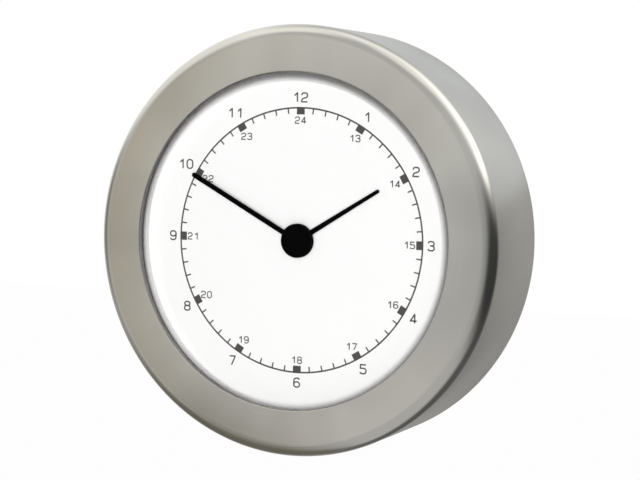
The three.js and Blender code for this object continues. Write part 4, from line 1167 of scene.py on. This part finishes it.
# %% [markdown]
# ## Finishes for the works
#
# Nobody sees the quartz movement while the clock hangs, but the pieces are there. One grey for all
# would be quick, but each takes a finish of its own, as in a real movement: nylon wheels, turned
# brass, soft iron, spring steel, a copper winding whose turns show as fine bands, a wrapped cell
# and a green board with its tracks.

# %% Metals, winding, cell and board
TOOL_DARK, TOOL_PALE, TOOL_GLOSS = 0.88, 1.05, 0.06
TOOL_ALONG, TOOL_ACROSS = 0.5, 8


def make_machined(name, colour, roughness):
    """Bare metal with fine tool marks along one direction."""
    material, wire, shader = new_finish(name, Metallic=1.0)
    x, y, z = millimetres(wire)
    combed = point(wire, x * TOOL_ALONG, y * TOOL_ACROSS, z * TOOL_ALONG)
    marks = noise(combed, scale=1.0, detail=3.0)
    shade(wire, shader, marks, scaled(TOOL_DARK, colour), scaled(TOOL_PALE, colour))
    gloss(wire, shader, marks, roughness - TOOL_GLOSS, roughness + TOOL_GLOSS)
    return material


def make_striped(name, first, second, direction, pitch, **constants):
    """Two colours in soft bands along a direction, a pitch in millimetres apart."""
    material, wire, shader = new_finish(name, **constants)
    place = wire.node("ShaderNodeTexCoord", output="Object")
    along = wire.node("ShaderNodeVectorMath", {0: place, 1: direction}, output="Value",
                      operation="DOT_PRODUCT")
    wave = (along * (2 * math.pi / (pitch * MM))).math("SINE") * 0.5 + 0.5
    shade(wire, shader, wave, (*first, 1), (*second, 1))
    gloss(wire, shader, wave, smooth=0.35, rough=0.55)
    return material


nylon = make_moulded("gear_nylon", (0.78, 0.76, 0.70), 0.4)
brass = make_machined("turned_brass", (0.72, 0.52, 0.22), 0.32)
iron = make_machined("soft_iron", (0.42, 0.43, 0.44), 0.45)
spring_steel = make_machined("tempered_steel", (0.62, 0.63, 0.64), 0.3)
copper = make_striped("copper_winding", (0.55, 0.20, 0.09), (0.85, 0.42, 0.24),
                      direction=(0, 0, 1), pitch=0.25, Metallic=1.0)
cell_wrap = make_striped("cell_wrap", (0.16, 0.17, 0.19), (0.24, 0.25, 0.27),
                         direction=(1, 0, 0), pitch=100.0)
board_green = make_striped("board_lacquer", (0.015, 0.09, 0.035), (0.03, 0.16, 0.06),
                           direction=(0.7, 0, 0.7), pitch=1.6)
print("finishes for the works:", nylon.name, brass.name, iron.name, spring_steel.name)

# %% The works take their finishes
WORKS = {
    black_plastic: ["movement_housing", "movement_cover", "chip_cover"],
    grey_plastic: ["middle_plate", "coil_bobbin", "setting_knob"],
    nylon: ["hour_wheel", "motion_wheel", "setting_arbor", "third_wheel", "seconds_wheel",
            "intermediate_wheel", "rotor_arbor"],
    brass: ["fixing_nut_left", "fixing_nut_right", "minute_arbor", "centre_wheel"],
    iron: ["stator", "coil_core", "rotor_magnet"],
    spring_steel: ["quartz_crystal", "positive_contact", "negative_contact", "clutch_spring"],
    copper: ["coil_winding"],
    cell_wrap: ["battery"],
    board_green: ["circuit_board"],
}
for finish, names in WORKS.items():
    for node in names:
        refinish(node, finish)
print("refinished", sum(len(names) for names in WORKS.values()), "solids of the works")
